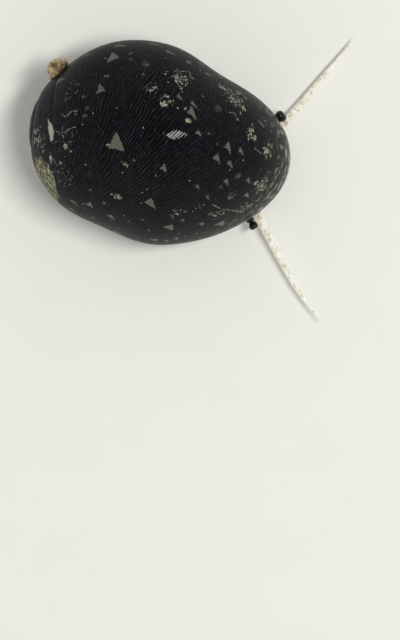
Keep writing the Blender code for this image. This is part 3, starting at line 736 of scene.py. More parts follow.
def growth_corners(made, turn, away):
    """Stores the line of growth per face corner, so that it doesn't run backwards where the turn starts anew."""
    mesh = made.data
    corner_vertex = corner_vertices(mesh)
    starts = np.empty(len(mesh.polygons), np.int32)
    mesh.polygons.foreach_get("loop_start", starts)
    counts = np.diff(np.append(starts, len(mesh.loops)))
    value = turn[corner_vertex]
    highest = np.repeat(np.maximum.reduceat(value, starts), counts)
    lowest = np.repeat(np.minimum.reduceat(value, starts), counts)
    value = np.where((highest - lowest > math.pi) & (value < 0), value + 2 * math.pi, value)
    line = value + growth_fall(away[corner_vertex])
    field = mesh.attributes.new("growth", "FLOAT", "CORNER")
    field.data.foreach_set("value", line.astype(np.float32))


class Surface:
    """The shell's points as the marks need them: where they are, how they face, which way growth goes on."""

    def __init__(self, made, outer_vertices):
        self.points = points_of(made)
        self.normals = normals_of(made)
        slope = growth_slope(self.points, self.normals)
        self.steepness = np.linalg.norm(slope, axis=1) + 1e-6
        self.ahead = slope / self.steepness[:, None]
        self.outer = np.arange(len(self.points)) < outer_vertices
        across, self.down = in_picture(self.points)
        self.across = np.where(self.outer & (self.normals[:, 2] > LEAST_RISE), across, OUT_OF_SIGHT)

    def at_pixel(self, across, down):
        """The vertex that shows at a pixel."""
        return int(np.argmin(np.hypot(self.across - across, self.down - down)))

    def from_pixel(self, across, down):
        """Every point's distance from the place that shows at a pixel."""
        return np.linalg.norm(self.points - self.points[self.at_pixel(across, down)], axis=1)


def in_picture(points):
    """Where points show in the picture, in pixels across and down."""
    right, up = picture_axes()
    offset = points - camera_foot()
    scale = (CAMERA_HEIGHT - FOCUS_LEVEL) / (CAMERA_HEIGHT - points[..., 2]) / MM_PER_PIXEL
    return FRAME_PIXELS[0] / 2 + offset @ right * scale, FRAME_PIXELS[1] / 2 - offset @ up * scale


def add_tent(shell, tents, tones, index, size, slant, tone):
    """Raises the tent field round one vertex: positive inside the triangle, in millimetres from its edge."""
    width, length = size
    normal = shell.normals[index]
    along = np.cross(shell.ahead[index], normal)
    offset = shell.points - shell.points[index]
    near = (np.abs(offset).max(1) < width + length) & (shell.normals @ normal > 0.2)
    onward = offset[near] @ shell.ahead[index]
    sideways = offset[near] @ along
    if along[2] * 0.2 + along @ apex_frame()[1] < 0:
        sideways = -sideways
    sideways = sideways - TENT_BEND * onward**2 / length
    back, tip = -length * TENT_BACK, length * (1.0 - TENT_BACK)
    corners = np.array([(-width / 2, back), (width / 2, back), (slant * width, tip)])
    inside = np.full(sideways.shape, TENT_FIELD)
    for start, end in ((0, 1), (1, 2), (2, 0)):
        edge = corners[end] - corners[start]
        edge = edge / np.linalg.norm(edge)
        side = edge[0] * (onward - corners[start][1]) - edge[1] * (sideways - corners[start][0])
        inside = np.minimum(inside, side)
    better = inside > tents[near]
    tents[near] = np.where(better, inside, tents[near])
    tones[near] = np.where(better & (inside > -TENT_TONE_REACH), tone, tones[near])


def true_size(shell, index, width, length):
    """A tent's sizes on the surface, from those that show from above."""
    ahead = shell.ahead[index]
    along = np.cross(ahead, shell.normals[index])
    seen_along = max(math.hypot(along[0], along[1]), LEAST_SEEN)
    seen_ahead = max(math.hypot(ahead[0], ahead[1]), LEAST_SEEN)
    return width / seen_along, length / seen_ahead


def mark_tents(made, shell):
    """The tents that show in the picture, and stray ones on the flanks."""
    rng = np.random.default_rng(TENT_SEED)
    tents = np.full(len(shell.points), -TENT_FIELD)
    tones = np.full(len(shell.points), TENT_TONE)
    taken = []
    for across, down, width, length, slant, tone in TENTS:
        index = shell.at_pixel(across, down)
        add_tent(shell, tents, tones, index, true_size(shell, index, width, length), slant, tone)
        taken.append(shell.points[index])
    radius, turns, _ = spiral_place(shell.points)
    on_spire = (turns < 0) & (radius < SUTURE_END_RADIUS)
    flank = np.where((shell.normals[:, 2] < STRAY_TENT_STEEPNESS) & shell.outer & ~on_spire)[0]
    for index in rng.choice(flank, STRAY_TENT_TRIES):
        if len(taken) >= len(TENTS) + STRAY_TENTS:
            break
        if min(np.linalg.norm(shell.points[index] - other) for other in taken) < STRAY_TENT_SPACING:
            continue
        width = rng.uniform(*STRAY_TENT_WIDTHS)
        size = (width, width * rng.uniform(*STRAY_TENT_LENGTHS))
        slant = rng.uniform(*STRAY_TENT_SLANTS)
        add_tent(shell, tents, tones, index, size, slant, rng.uniform(*STRAY_TENT_TONES))
        taken.append(shell.points[index])
    keep_field(made, "tent", tents)
    keep_field(made, "tent_tone", tones)


def mark_wear(made, shell):
    """Flakes, blurred spots, scuffed patches and scratches."""
    worn = np.full(len(shell.points), -1.0)
    for across, down, size in FLAKES:
        worn = np.maximum(worn, size - shell.from_pixel(across, down))
    keep_field(made, "worn", worn)
    spot = np.zeros(len(shell.points))
    for across, down, size in SPOTS:
        spot = np.maximum(spot, 1.0 - smoothstep(size * SPOT_CORE, size, shell.from_pixel(across, down)))
    keep_field(made, "spot", spot)
    scuffed = np.zeros(len(shell.points))
    for across, down, size, share in SCUFFED:
        near = 1.0 - smoothstep(size * SCUFF_CORE, size, shell.from_pixel(across, down))
        scuffed = np.maximum(scuffed, share * near)
    keep_field(made, "scuffed", scuffed)
    offset = np.ones(len(shell.points))  # from the nearest scratch, in pixels
    reach = np.zeros(len(shell.points))
    for path in SCRATCHES:
        for start, end in zip(path, path[1:]):
            add_scratch(shell, offset, reach, np.array(start), np.array(end))
    keep_field(made, "scratch", offset)
    keep_field(made, "scratch_reach", reach)


def add_scratch(shell, offset, reach, start, end):
    """Keeps the signed distance in pixels to a line's straight length, and how far inside its reach it is."""
    length = np.linalg.norm(end - start)
    ahead = (end - start) / length
    across = shell.across - start[0]
    down = shell.down - start[1]
    onward = across * ahead[0] + down * ahead[1]
    aside = down * ahead[0] - across * ahead[1]
    beyond = np.maximum(np.maximum(-onward, onward - length), 0.0)
    inside = 1.0 - np.maximum(beyond / SCRATCH_END_REACH, np.abs(aside) / SCRATCH_REACH)
    better = inside > reach
    offset[better] = aside[better]
    reach[better] = inside[better]


def mark_spire(made, shell):
    """The suture, the white splashes beside it, the bare chalky patches, and the bluish wear round them."""
    radius, turns, suture = spiral_place(shell.points)
    facing = (shell.points - np.array(SPIRE_CENTRE)) @ apex_frame()[1] > 0
    bare = np.zeros(len(shell.points))
    for place in BARE_PLACES:
        bare = np.maximum(bare, 1.0 - smoothstep(*BARE_REACH, shell.from_pixel(*place)))
    keep_field(made, "bare", np.where((turns < 0) & facing, bare, 0.0))
    beyond = np.where(turns >= 0, 1.0 - smoothstep(*BLUE_REACH, suture), BLUE_ON_SPIRE)
    fades, gone = BLUE_FADES
    fading = 1.0 - smoothstep(SUTURE_END_RADIUS * fades, SUTURE_END_RADIUS * gone, radius)
    keep_field(made, "blue", np.where(facing, beyond * fading, 0.0))
    seam = (1.0 - smoothstep(*SEAM_WIDTHS, suture)) * suture_strength(radius)
    keep_field(made, "seam", np.where(facing, seam, 0.0))
    splash = np.full(len(shell.points), -TENT_FIELD)
    seen = shell.outer & (shell.normals[:, 2] > SPLASH_RISE)
    for outline in SPLASHES:
        inside = np.full(len(splash), TENT_FIELD)
        for start, end in zip(outline, outline[1:] + outline[:1]):
            edge = np.array(end) - np.array(start)
            edge = edge / np.linalg.norm(edge) * MM_PER_PIXEL
            inside = np.minimum(inside, edge[0] * (shell.down - start[1]) - edge[1] * (shell.across - start[0]))
        splash = np.where(seen, np.maximum(splash, inside), splash)
    keep_field(made, "splash", splash)


def mark_edges(made, shell):
    """The worn front, the lip's pale edge, and the inner face that starts at the rim."""
    keep_field(made, "inner", np.where(shell.outer, 0.0, 1.0))
    level = shell.points[:, 2] - rim_plane(shell.points[:, 1])
    ahead = smoothstep(*FRONT_REACH, -shell.points[:, 1])
    keep_field(made, "front", ahead * smoothstep(*FRONT_LEVELS, level))
    widened = smoothstep(*LIP_SPAN[:2], shell.down) * (1.0 - smoothstep(*LIP_SPAN[2:], shell.down))
    lift = LIP_WIDENING * widened
    margin = ahead * (1.0 - smoothstep(MARGIN_LEVELS[0] + lift, MARGIN_LEVELS[1] + lift, level))
    keep_field(made, "margin", margin)


def mark_shell(made, outer_vertices):
    """Works out where the shell is pale, worn, bare or blue, and stores each as a field."""
    shell = Surface(made, outer_vertices)
    mark_tents(made, shell)
    mark_wear(made, shell)
    mark_spire(made, shell)
    mark_edges(made, shell)
    wanted = 2 * math.pi / RIDGE_SPACING / shell.steepness
    keep_field(made, "ridge_level", np.clip(np.log2(wanted / FEWEST_RIDGES), 0.0, RIDGE_DOUBLINGS))
    growth_corners(made, *growth_place(shell.points))


def make_shell():
    """The shell with its lip and the recess that the flesh fills."""
    rings, outer_count = shell_rings()
    outer_vertices = sum(len(ring) for ring in rings[:outer_count])
    made = mesh_object("shell_dome", *loft(rings), polished_shell())
    face_outwards(made)
    mark_shell(made, outer_vertices)
    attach(made, "root")
    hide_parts("shell")


# Finishes. Pattern sizes are real ones: a noise's Scale is one over the blotches' size in millimetres.


def growth_ridges(tree, place):
    """Fine ridges along the lines of growth, from 0 to 1, wavy, and doubled where the lines spread."""
    line = add_node(tree, "Attribute", attribute_name="growth").outputs["Fac"]
    level = add_node(tree, "Attribute", attribute_name="ridge_level").outputs["Fac"]
    small = add_node(tree, "TexNoise", {"Vector": place, "Scale": 1 / 0.6, "Detail": 0.5})
    large = add_node(tree, "TexNoise", {"Vector": place, "Scale": 1 / 2.0, "Detail": 1.0})
    wander = add_node(tree, "Math", {0: small, 1: large}, operation="ADD")
    wander = add_node(tree, "Math", {0: wander, 1: RIDGE_WANDER}, operation="MULTIPLY")
    total = 0.0
    for doubling in range(RIDGE_DOUBLINGS + 1):
        ridges = float(FEWEST_RIDGES * 2**doubling)
        phase = add_node(tree, "Math", {0: line, 1: ridges, 2: wander}, operation="MULTIPLY_ADD")
        wave = add_node(tree, "Math", {0: phase}, operation="SINE")
        gap = add_node(tree, "Math", {0: level, 1: float(doubling)}, operation="SUBTRACT")
        gap = add_node(tree, "Math", {0: gap}, operation="ABSOLUTE")
        weight = add_node(tree, "Math", {0: 1.0, 1: gap}, operation="SUBTRACT", use_clamp=True)
        total = add_node(tree, "Math", {0: wave, 1: weight, 2: total}, operation="MULTIPLY_ADD")
    return add_node(tree, "Math", {0: total, 1: 0.5, 2: 0.5}, operation="MULTIPLY_ADD")


def worn_share(tree, place):
    """Grainy flakes, thin broken scratches, tangled hairline scuffs, and scattered pinpricks."""
    field = {}
    for name in ("worn", "scratch", "scratch_reach", "scuffed"):
        field[name] = add_node(tree, "Attribute", attribute_name=name).outputs["Fac"]
    grain = add_node(tree, "TexNoise", {"Vector": place, "Scale": 1 / 0.1, "Detail": 2.0})
    rough = add_node(tree, "TexNoise", {"Vector": place, "Scale": 1 / 0.25, "Detail": 3.0})
    edge = add_node(tree, "Math", {0: rough, 1: 0.5, 2: -0.25}, operation="MULTIPLY_ADD")
    edge = add_node(tree, "Math", {0: field["worn"], 1: edge}, operation="ADD")
    flake = add_node(tree, "MapRange", {0: edge, 1: -0.01, 2: 0.05}, **SMOOTH)
    grains = add_node(tree, "MapRange", {0: grain, 1: 0.44, 2: 0.54, 3: 0.06}, **SMOOTH)
    flake = add_node(tree, "Math", {0: flake, 1: grains}, operation="MULTIPLY")
    wobble = add_node(tree, "Math", {0: rough, 1: 2.6, 2: -1.3}, operation="MULTIPLY_ADD")
    aside = add_node(tree, "Math", {0: field["scratch"], 1: wobble}, operation="ADD")
    aside = add_node(tree, "Math", {0: aside}, operation="ABSOLUTE")
    width = add_node(tree, "Math", {0: grain, 1: 2.2, 2: -0.6}, operation="MULTIPLY_ADD")
    scratch = add_node(tree, "Math", {0: width, 1: aside}, operation="SUBTRACT", use_clamp=True)
    reach = add_node(tree, "MapRange", {0: field["scratch_reach"], 1: 0.05, 2: 0.25})
    scratch = add_node(tree, "Math", {0: scratch, 1: reach}, operation="MULTIPLY")
    bend = add_node(tree, "VectorMath", {0: place, 1: rough}, operation="ADD")
    hairs = add_node(tree, "TexVoronoi", {"Vector": bend, "Scale": 1 / 0.4}, feature="DISTANCE_TO_EDGE")
    hairs = add_node(tree, "MapRange", {0: hairs, 1: 0.1, 2: 0.02})
    broken = add_node(tree, "Math", {0: field["scuffed"], 1: 0.2, 2: rough}, operation="MULTIPLY_ADD")
    broken = add_node(tree, "MapRange", {0: broken, 1: 0.6, 2: 0.7}, **SMOOTH)
    hairs = add_node(tree, "Math", {0: hairs, 1: broken}, operation="MULTIPLY")
    faint = add_node(tree, "MapRange", {0: field["scuffed"], 2: 0.4})
    hairs = add_node(tree, "Math", {0: hairs, 1: faint}, operation="MULTIPLY")
    cell = add_node(tree, "TexVoronoi", {"Vector": place, "Scale": 1 / 0.9})
    prick = add_node(tree, "Math", {0: cell, 1: 0.055}, operation="LESS_THAN")
    total = add_node(tree, "Math", {0: flake, 1: scratch}, operation="MAXIMUM")
    total = add_node(tree, "Math", {0: total, 1: hairs}, operation="MAXIMUM")
    return add_node(tree, "Math", {0: total, 1: prick}, operation="MAXIMUM")


def tent_share(tree, place, ridge):
    """Where the pale tents are, and their colour: milky, streaked along the ridges."""
    tent = add_node(tree, "Attribute", attribute_name="tent").outputs["Fac"]
    tone = add_node(tree, "Attribute", attribute_name="tent_tone").outputs["Fac"]
    ragged = add_node(tree, "TexNoise", {"Vector": place, "Scale": 1 / 0.14, "Detail": 2.0})
    ragged = add_node(tree, "Math", {0: ragged, 1: 0.26, 2: -0.14}, operation="MULTIPLY_ADD")
    edge = add_node(tree, "Math", {0: tent, 1: ragged}, operation="ADD")
    share = add_node(tree, "MapRange", {0: edge, 1: -0.02, 2: 0.03}, **SMOOTH)
    grain = add_node(tree, "MapRange", {0: ridge, 1: 0.2, 2: 0.9, 4: 0.5})
    tone = add_node(tree, "Math", {0: tone, 1: 0.47}, operation="MULTIPLY")
    colour = lay_over(tree, "#1d1d1e", (tone, "#8a887c"), (grain, "#47453c"))
    return share, colour, ragged


def bare_chalk(tree, place):
    """Where the spire's glaze is gone, and the mottled olive chalk there."""
    bare = add_node(tree, "Attribute", attribute_name="bare").outputs["Fac"]
    mottle = add_node(tree, "TexNoise", {"Vector": place, "Scale": 1 / 0.3, "Detail": 4.0})
    spread = add_node(tree, "Math", {0: mottle, 1: 1.4, 2: -0.7}, operation="MULTIPLY_ADD")
    spread = add_node(tree, "Math", {0: bare, 1: spread}, operation="ADD")
    share = add_node(tree, "MapRange", {0: spread, 1: 0.35, 2: 0.6}, **SMOOTH)
    stops = ((0.36, "#3b3c2f"), (0.68, "#aba98e"), (0.52, "#74735a"))
    return share, add_node(tree, "ValToRGB", {0: mottle}, stops=stops), mottle


def polished_shell():
    """Aragonite shell, glazed by the mantle and finely ridged along its lines of growth: near black, with milky
    tents in the pigment. The ridges scatter most of the gloss, and a thin clear glaze keeps one small sharp
    highlight that they break into stripes. It is rubbed blue-grey near the suture and bare on the spire."""
    made, tree, place = start_finish("polished_black_shell")
    field = {}
    for name in ("blue", "front", "margin", "spot", "seam", "splash", "inner"):
        field[name] = add_node(tree, "Attribute", attribute_name=name).outputs["Fac"]
    ridge = growth_ridges(tree, place)
    patches = add_node(tree, "TexNoise", {"Vector": place, "Scale": 1 / 0.4, "Detail": 3.0})
    patches = add_node(tree, "MapRange", {0: patches, 1: 0.4, 2: 0.6, 3: 0.35}, **SMOOTH)
    streak = add_node(tree, "MapRange", {0: ridge, 1: 0.4, 2: 0.9}, **SMOOTH)
    streak = add_node(tree, "Math", {0: streak, 1: patches}, operation="MULTIPLY")
    rubbed = add_node(tree, "TexNoise", {"Vector": place, "Scale": 1 / 0.5, "Detail": 8.0, "Roughness": 0.7})
    rubbed = add_node(tree, "MapRange", {0: rubbed, 1: 0.4, 2: 0.75, 4: 0.9})
    blue = add_node(tree, "Math", {0: field["blue"], 1: rubbed}, operation="MULTIPLY")
    veil = add_node(tree, "Math", {0: field["front"], 1: 0.45}, operation="MULTIPLY")
    flecks = add_node(tree, "TexNoise", {"Vector": place, "Scale": 1 / 0.55, "Detail": 4.0})
    flecks = add_node(tree, "Math", {0: ridge, 1: 0.2, 2: flecks}, operation="MULTIPLY_ADD")
    flecks = add_node(tree, "Math", {0: field["front"], 1: 0.12, 2: flecks}, operation="MULTIPLY_ADD")
    flecks = add_node(tree, "MapRange", {0: flecks, 1: 0.76, 2: 0.9}, **SMOOTH)
    flecks = add_node(tree, "Math", {0: flecks, 1: field["front"]}, operation="MULTIPLY")
    margin = add_node(tree, "Math", {0: patches, 1: 0.45, 2: field["margin"]}, operation="MULTIPLY_ADD")
    margin = add_node(tree, "Math", {0: ridge, 1: 0.15, 2: margin}, operation="MULTIPLY_ADD")
    margin = add_node(tree, "MapRange", {0: margin, 1: 0.6, 2: 1.3}, **SMOOTH)
    spot = add_node(tree, "Math", {0: field["spot"], 1: patches}, operation="MULTIPLY")
    spot = add_node(tree, "Math", {0: spot, 1: 0.6}, operation="MULTIPLY")
    tent, milky, ragged = tent_share(tree, place, ridge)
    bare, chalk, mottle = bare_chalk(tree, place)
    splash = add_node(tree, "Math", {0: field["splash"], 1: ragged}, operation="ADD")
    splash = add_node(tree, "MapRange", {0: splash, 1: -0.03, 2: 0.04}, **SMOOTH)
    worn = worn_share(tree, place)
    cloud = add_node(tree, "TexNoise", {"Vector": place, "Scale": 1 / 0.9, "Detail": 1.0})
    flaky = lay_over(tree, "#aaa68a", (cloud, "#9b9d99"))
    colour = lay_over(
        tree, "#050508", (streak, "#26262e"), (blue, "#2e383e"), (veil, "#3a3d3b"), (flecks, "#a9aa9e"),
        (tent, milky), (spot, "#5b5f63"), (bare, chalk), (field["seam"], "#080605"), (splash, "#a0a094"),
        (worn, flaky), (margin, "#9b967f"), (field["inner"], "#9a968b"),
    )
    dull = add_node(tree, "Math", {0: bare, 1: 0.3, 2: SHELL_ROUGHNESS}, operation="MULTIPLY_ADD")
    dull = add_node(tree, "Math", {0: worn, 1: 0.15, 2: dull}, operation="MULTIPLY_ADD")
    relief = add_node(tree, "Math", {0: mottle, 1: bare}, operation="MULTIPLY")
    relief = add_node(tree, "Math", {0: relief, 1: CHALK_RELIEF}, operation="MULTIPLY")
    relief = add_node(tree, "Math", {0: ridge, 1: RIDGE_RELIEF, 2: relief}, operation="MULTIPLY_ADD")
    relief = add_node(tree, "Math", {0: flecks, 1: FLECK_RELIEF, 2: relief}, operation="MULTIPLY_ADD")
    relief = add_node(tree, "Math", {0: worn, 1: -WORN_DEPTH, 2: relief}, operation="MULTIPLY_ADD")
    inputs = {"Base Color": colour, "Roughness": dull, "IOR": 1.5, "Specular IOR Level": 0.0}
    inputs.update({"Coat Weight": SHELL_GLAZE, "Coat Roughness": 0.05, "Coat IOR": 1.5})
    bump, surface = finish_with(tree, relief, 1.0, inputs)
    tree.links.new(bump.outputs[0], surface.inputs["Coat Normal"])
    return made


def wet_skin():
    """Wet mollusc skin: dark brown with gold flecks on the foot, wavy cream lines on the head, thin and
    cream in the feelers, where light glows through, and pale under the sole. Slime gives it a soft gloss."""
    made, tree, place = start_finish("wet_snail_skin")
    field = {}
    for name in ("feeler", "middle", "face", "sole", "margin", "black", "tan"):
        field[name] = add_node(tree, "Attribute", attribute_name=name).outputs["Fac"]
    fine = add_node(tree, "TexNoise", {"Vector": place, "Scale": 1 / 0.15, "Detail": 3.0})
    broad = add_node(tree, "TexNoise", {"Vector": place, "Scale": 1 / 0.8, "Detail": 3.0})
    flecks = add_node(tree, "MapRange", {0: fine, 1: 0.56, 2: 0.66}, **SMOOTH)
    cloudy = add_node(tree, "MapRange", {0: broad, 1: 0.35, 2: 0.65}, **SMOOTH)
    brown = lay_over(tree, "#1c140e", (cloudy, "#3a2a18"), (flecks, "#a58648"))
    rings = 2 * math.pi / 20 / FACE_LINE_SPACING  # at a Scale of 1 a wave's rings are 2 pi / 20 apart
    waves = {"Vector": place, "Scale": rings, "Distortion": 7.0, "Detail": 2.0, "Detail Scale": 1.2}
    ripple = add_node(tree, "TexWave", waves, wave_type="RINGS", rings_direction="Y").outputs["Fac"]
    lines = add_node(tree, "MapRange", {0: ripple, 1: 0.72, 2: 0.92}, **SMOOTH)
    face = lay_over(tree, "#0f0d0b", (lines, "#c9b886"))
    dots = add_node(tree, "MapRange", {0: fine, 1: 0.48, 2: 0.56}, **SMOOTH)
    dots = add_node(tree, "Math", {0: dots, 1: field["margin"]}, operation="MULTIPLY")
    sole = lay_over(tree, "#a79f83", (cloudy, "#c9c3ac"))
    freckles = add_node(tree, "TexNoise", {"Vector": place, "Scale": 1 / 0.35, "Detail": 2.0})
    freckles = add_node(tree, "MapRange", {0: freckles, 1: 0.48, 2: 0.68, 4: 0.55}, **SMOOTH)
    freckles = add_node(tree, "Math", {0: freckles, 1: field["middle"]}, operation="MULTIPLY")
    cream = lay_over(tree, "#fbfaf3", (cloudy, "#efeddf"), (freckles, "#a19e82"))
    colour = lay_over(
        tree, brown, (field["face"], face), (dots, "#d8cfb4"), (field["sole"], sole), (field["black"], "#0d0b0a"),
        (field["feeler"], cream), (field["tan"], "#a58c5c"),
    )
    creases = add_node(tree, "Math", {0: ripple, 1: field["face"]}, operation="MULTIPLY")
    creases = add_node(tree, "Math", {0: creases, 1: 0.04}, operation="MULTIPLY")
    relief = add_node(tree, "Math", {0: fine, 1: 0.03, 2: creases}, operation="MULTIPLY_ADD")
    inputs = {"Base Color": colour, "Roughness": 0.3, "IOR": 1.38, "Subsurface Weight": 0.35}
    inputs.update({"Subsurface Radius": (1.0, 0.9, 0.7), "Subsurface Scale": 0.35 * MM})
    finish_with(tree, relief, 0.8, inputs)
    return made


def wet_eye():
    """The black cup of the eye under a clear wet lens: one small sharp highlight."""
    made, tree, place = start_finish("wet_black_eye")
    depth = add_node(tree, "TexNoise", {"Vector": place, "Scale": 1 / 0.2, "Detail": 2.0})
    colour = lay_over(tree, "#060505", (depth, "#17110f"))
    relief = add_node(tree, "Math", {0: depth, 1: 0.01}, operation="MULTIPLY")
    finish_with(tree, relief, 0.5, {"Base Color": colour, "Roughness": 0.12, "IOR": 1.4})
    return made


def chalky_horn():
    """The operculum, chalk laid down on horn: smooth and greyish, with fine rings of growth and rusty stains."""
    made, tree, place = start_finish("chalk_on_horn")
    ring = add_node(tree, "Attribute", attribute_name="ring").outputs["Fac"]
    stain = add_node(tree, "TexNoise", {"Vector": place, "Scale": 1 / 1.1, "Detail": 3.0})
    stain = add_node(tree, "MapRange", {0: stain, 1: 0.5, 2: 0.75}, **SMOOTH)
    colour = lay_over(tree, "#8d8678", (ring, "#b9b1a0"), (stain, "#a3713f"))
    pores = add_node(tree, "TexNoise", {"Vector": place, "Scale": 1 / 0.1, "Detail": 2.0})
    relief = add_node(tree, "Math", {0: pores, 1: 0.01}, operation="MULTIPLY")
    finish_with(tree, relief, 0.6, {"Base Color": colour, "Roughness": 0.42, "IOR": 1.55})
    return made


def silty_weed():
    """Fine filaments of weed that hold silt: matt, straw-coloured to brown at random, with painted shade that
    darkens the strands towards their roots, the grains towards their undersides, and both near the clump's shaded
    middle.
    """
    made, tree, place = start_finish("silty_weed")
    height = add_node(tree, "Attribute", attribute_name="strand").outputs["Fac"]
    clump = add_node(tree, "TexNoise", {"Vector": place, "Scale": 1 / 0.3, "Detail": 2.0})
    # Painted shade: darker towards each strand's root and each grain's underside, and near the clump's shaded
    # middle. The noise adds tone that differs at random.
    shade = add_node(tree, "Math", {0: height, 1: 0.75, 2: -0.3}, operation="MULTIPLY_ADD")
    shade = add_node(tree, "Math", {0: clump, 1: 0.8, 2: shade}, operation="MULTIPLY_ADD")
    stops = ((0.22, "#33200d"), (0.85, "#d3c59c"), (0.52, "#8d6f3c"))
    colour = add_node(tree, "ValToRGB", {0: shade}, stops=stops)
    relief = add_node(tree, "Math", {0: clump, 1: 0.01}, operation="MULTIPLY")
    finish_with(tree, relief, 0.5, {"Base Color": colour, "Roughness": 0.85, "Sheen Weight": 0.2})
    return made


def pale_board():
    """The plain floor: matt pressed board, nearly white. Its fibres are too fine to show, and are drawn as
    faint clouds."""
    made, tree, place = start_finish("pale_board")
    grain = add_node(tree, "TexNoise", {"Vector": place, "Scale": 1 / 6.0, "Detail": 3.0})
    colour = lay_over(tree, "#eceeec", (grain, "#f0f1ef"))
    inputs = {"Base Color": colour, "Roughness": 0.9, "Specular IOR Level": 0.1}
    finish_with(tree, 0.0, 0.0, inputs)
    return made


# The soft body.


def sole_half_width(y):
    forward = np.clip((SOLE_MIDDLE_Y - y) / SOLE_HALF_LENGTH, -0.995, 0.995)
    blunt, round_off = SOLE_POWERS
    return SOLE_HALF_WIDTH * (1.0 - abs(forward) ** blunt) ** round_off * (1.0 + SOLE_TAPER * forward)


def foot_height(y):
    front = smoothstep(*(HEAD_BACK_Y + step for step in FOOT_FRONT_STEP), y)
    tail = smoothstep(*TAIL_STEP_Y, y)
    full = FOOT_FRONT_HEIGHT + (FOOT_HEIGHT - FOOT_FRONT_HEIGHT) * front
    return full + (TAIL_HEIGHT - full) * tail


def foot_section(y):
    """The foot's outline across it: a thin frilled skirt on the floor, with a narrower back."""
    wide = float(sole_half_width(y))
    end = min(1.0, FOOT_END_HEIGHT + (1.0 - FOOT_END_HEIGHT) * wide / SOLE_HALF_WIDTH * FOOT_END_RISE)
    wide = wide - SKIN_INSET
    high = float(foot_height(y)) * end - SKIN_INSET
    long_wave, short_wave = FRILL_WAVES
    frill = 1.0 - FRILL_DEPTH * (1.0 + math.sin(y * long_wave) + 0.6 * math.sin(y * short_wave + 1.0))
    right = [(share * wide * (frill if level < FRILL_TOP else 1.0), y, level * high) for share, level in FOOT_SIDE]
    return right + [(-x, back, z) for x, back, z in reversed(right[1:-1])]


def oval_ring(middle, across, up, half_across, half_up, count, power=1.0):
    turn = np.linspace(0.0, 2 * math.pi, count, endpoint=False)
    sideways = np.sign(np.cos(turn)) * np.abs(np.cos(turn)) ** power * half_across
    rise = np.sign(np.sin(turn)) * np.abs(np.sin(turn)) ** power * half_up
    return np.array(middle) + sideways[:, None] * np.array(across) + rise[:, None] * np.array(up)


def catmull(knots, step):
    """A point of the curve through the knots, at a whole number on each of them."""
    index = min(int(step), len(knots) - 2)
    share = step - index
    before = knots[max(index - 1, 0)]
    start = knots[index]
    end = knots[index + 1]
    after = knots[min(index + 2, len(knots) - 1)]
    bend = 2 * before - 5 * start + 4 * end - after
    twist = -before + 3 * start - 3 * end + after
    return 0.5 * (2 * start + (end - before) * share + bend * share**2 + twist * share**3)


def smooth_curve(points, count):
    """Evenly spaced points on the smooth curve through given ones."""
    knots = np.array(points, float)
    curve = np.array([catmull(knots, step) for step in np.linspace(0.0, len(knots) - 1, CURVE_SAMPLES)])
    lengths = np.concatenate([[0.0], np.cumsum(np.linalg.norm(np.diff(curve, axis=0), axis=1))])
    even = np.linspace(0.0, lengths[-1], count)
    return np.stack([np.interp(even, lengths, curve[:, axis]) for axis in range(3)], 1)


def tentacle_radius(share):
    """The feeler thins evenly to TENTACLE_SLIM_FROM of its length, and then faster to its tip."""
    if share < TENTACLE_SLIM_FROM:
        mix = share / TENTACLE_SLIM_FROM
        return TENTACLE_ROOT_RADIUS + (TENTACLE_LEAST_RADIUS - TENTACLE_ROOT_RADIUS) * mix
    mix = (share - TENTACLE_SLIM_FROM) / (1.0 - TENTACLE_SLIM_FROM)
    return TENTACLE_LEAST_RADIUS + (TENTACLE_TIP_RADIUS - TENTACLE_LEAST_RADIUS) * mix


def tube_rings(path, radii, sides):
    """Rings round a path, each at right angles to it."""
    rings = []
    for index, middle in enumerate(path):
        ahead = path[min(index + 1, len(path) - 1)] - path[max(index - 1, 0)]
        ahead = ahead / np.linalg.norm(ahead)
        across = np.cross(ahead, (0.0, 0.0, 1.0))
        across = across / max(np.linalg.norm(across), 1e-6)
        rings.append(oval_ring(middle, across, np.cross(across, ahead), radii[index], radii[index], sides))
    return rings


def tentacle_loft(points, sign):
    """A feeler from inside the head to its tip."""
    path = smooth_curve(points, TENTACLE_RINGS)
    shares = np.linspace(0.0, 1.0, TENTACLE_RINGS)
    radii = [tentacle_radius(share) - SKIN_INSET * (1.0 - 0.7 * share) for share in shares]
    start = on_side(TENTACLE_START, sign)
    inner = [start + (path[0] - start) * share for share in (0.0, 0.5)]
    swollen = [radii[0] * swell for swell in TENTACLE_START_SWELLS]
    return loft(tube_rings(np.array(inner + list(path)), swollen + radii, TENTACLE_AROUND))


def upright_ring(y, z, half_across, half_up, count, power):
    """An outline across the body, at a place along it."""
    return oval_ring((0.0, y, z), (1, 0, 0), (0, 0, 1), half_across, half_up, count, power)


def head_loft():
    middle_z = (HEAD_BOTTOM + HEAD_TOP) / 2
    half_height = (HEAD_TOP - HEAD_BOTTOM) / 2 - SKIN_INSET
    behind, wide, high = HEAD_ROOT
    rings = [upright_ring(HEAD_BACK_Y + behind, middle_z, wide, half_height * high, HEAD_AROUND, HEAD_SQUARENESS)]
    for share, wide, high in HEAD_STATIONS:
        y = HEAD_BACK_Y + (HEAD_FRONT_Y - HEAD_BACK_Y) * share
        half_across = (HEAD_HALF_WIDTH - SKIN_INSET) * wide
        z = middle_z - HEAD_SINK * share
        rings.append(upright_ring(y, z, half_across, half_height * high, HEAD_AROUND, HEAD_SQUARENESS))
    return loft(rings)


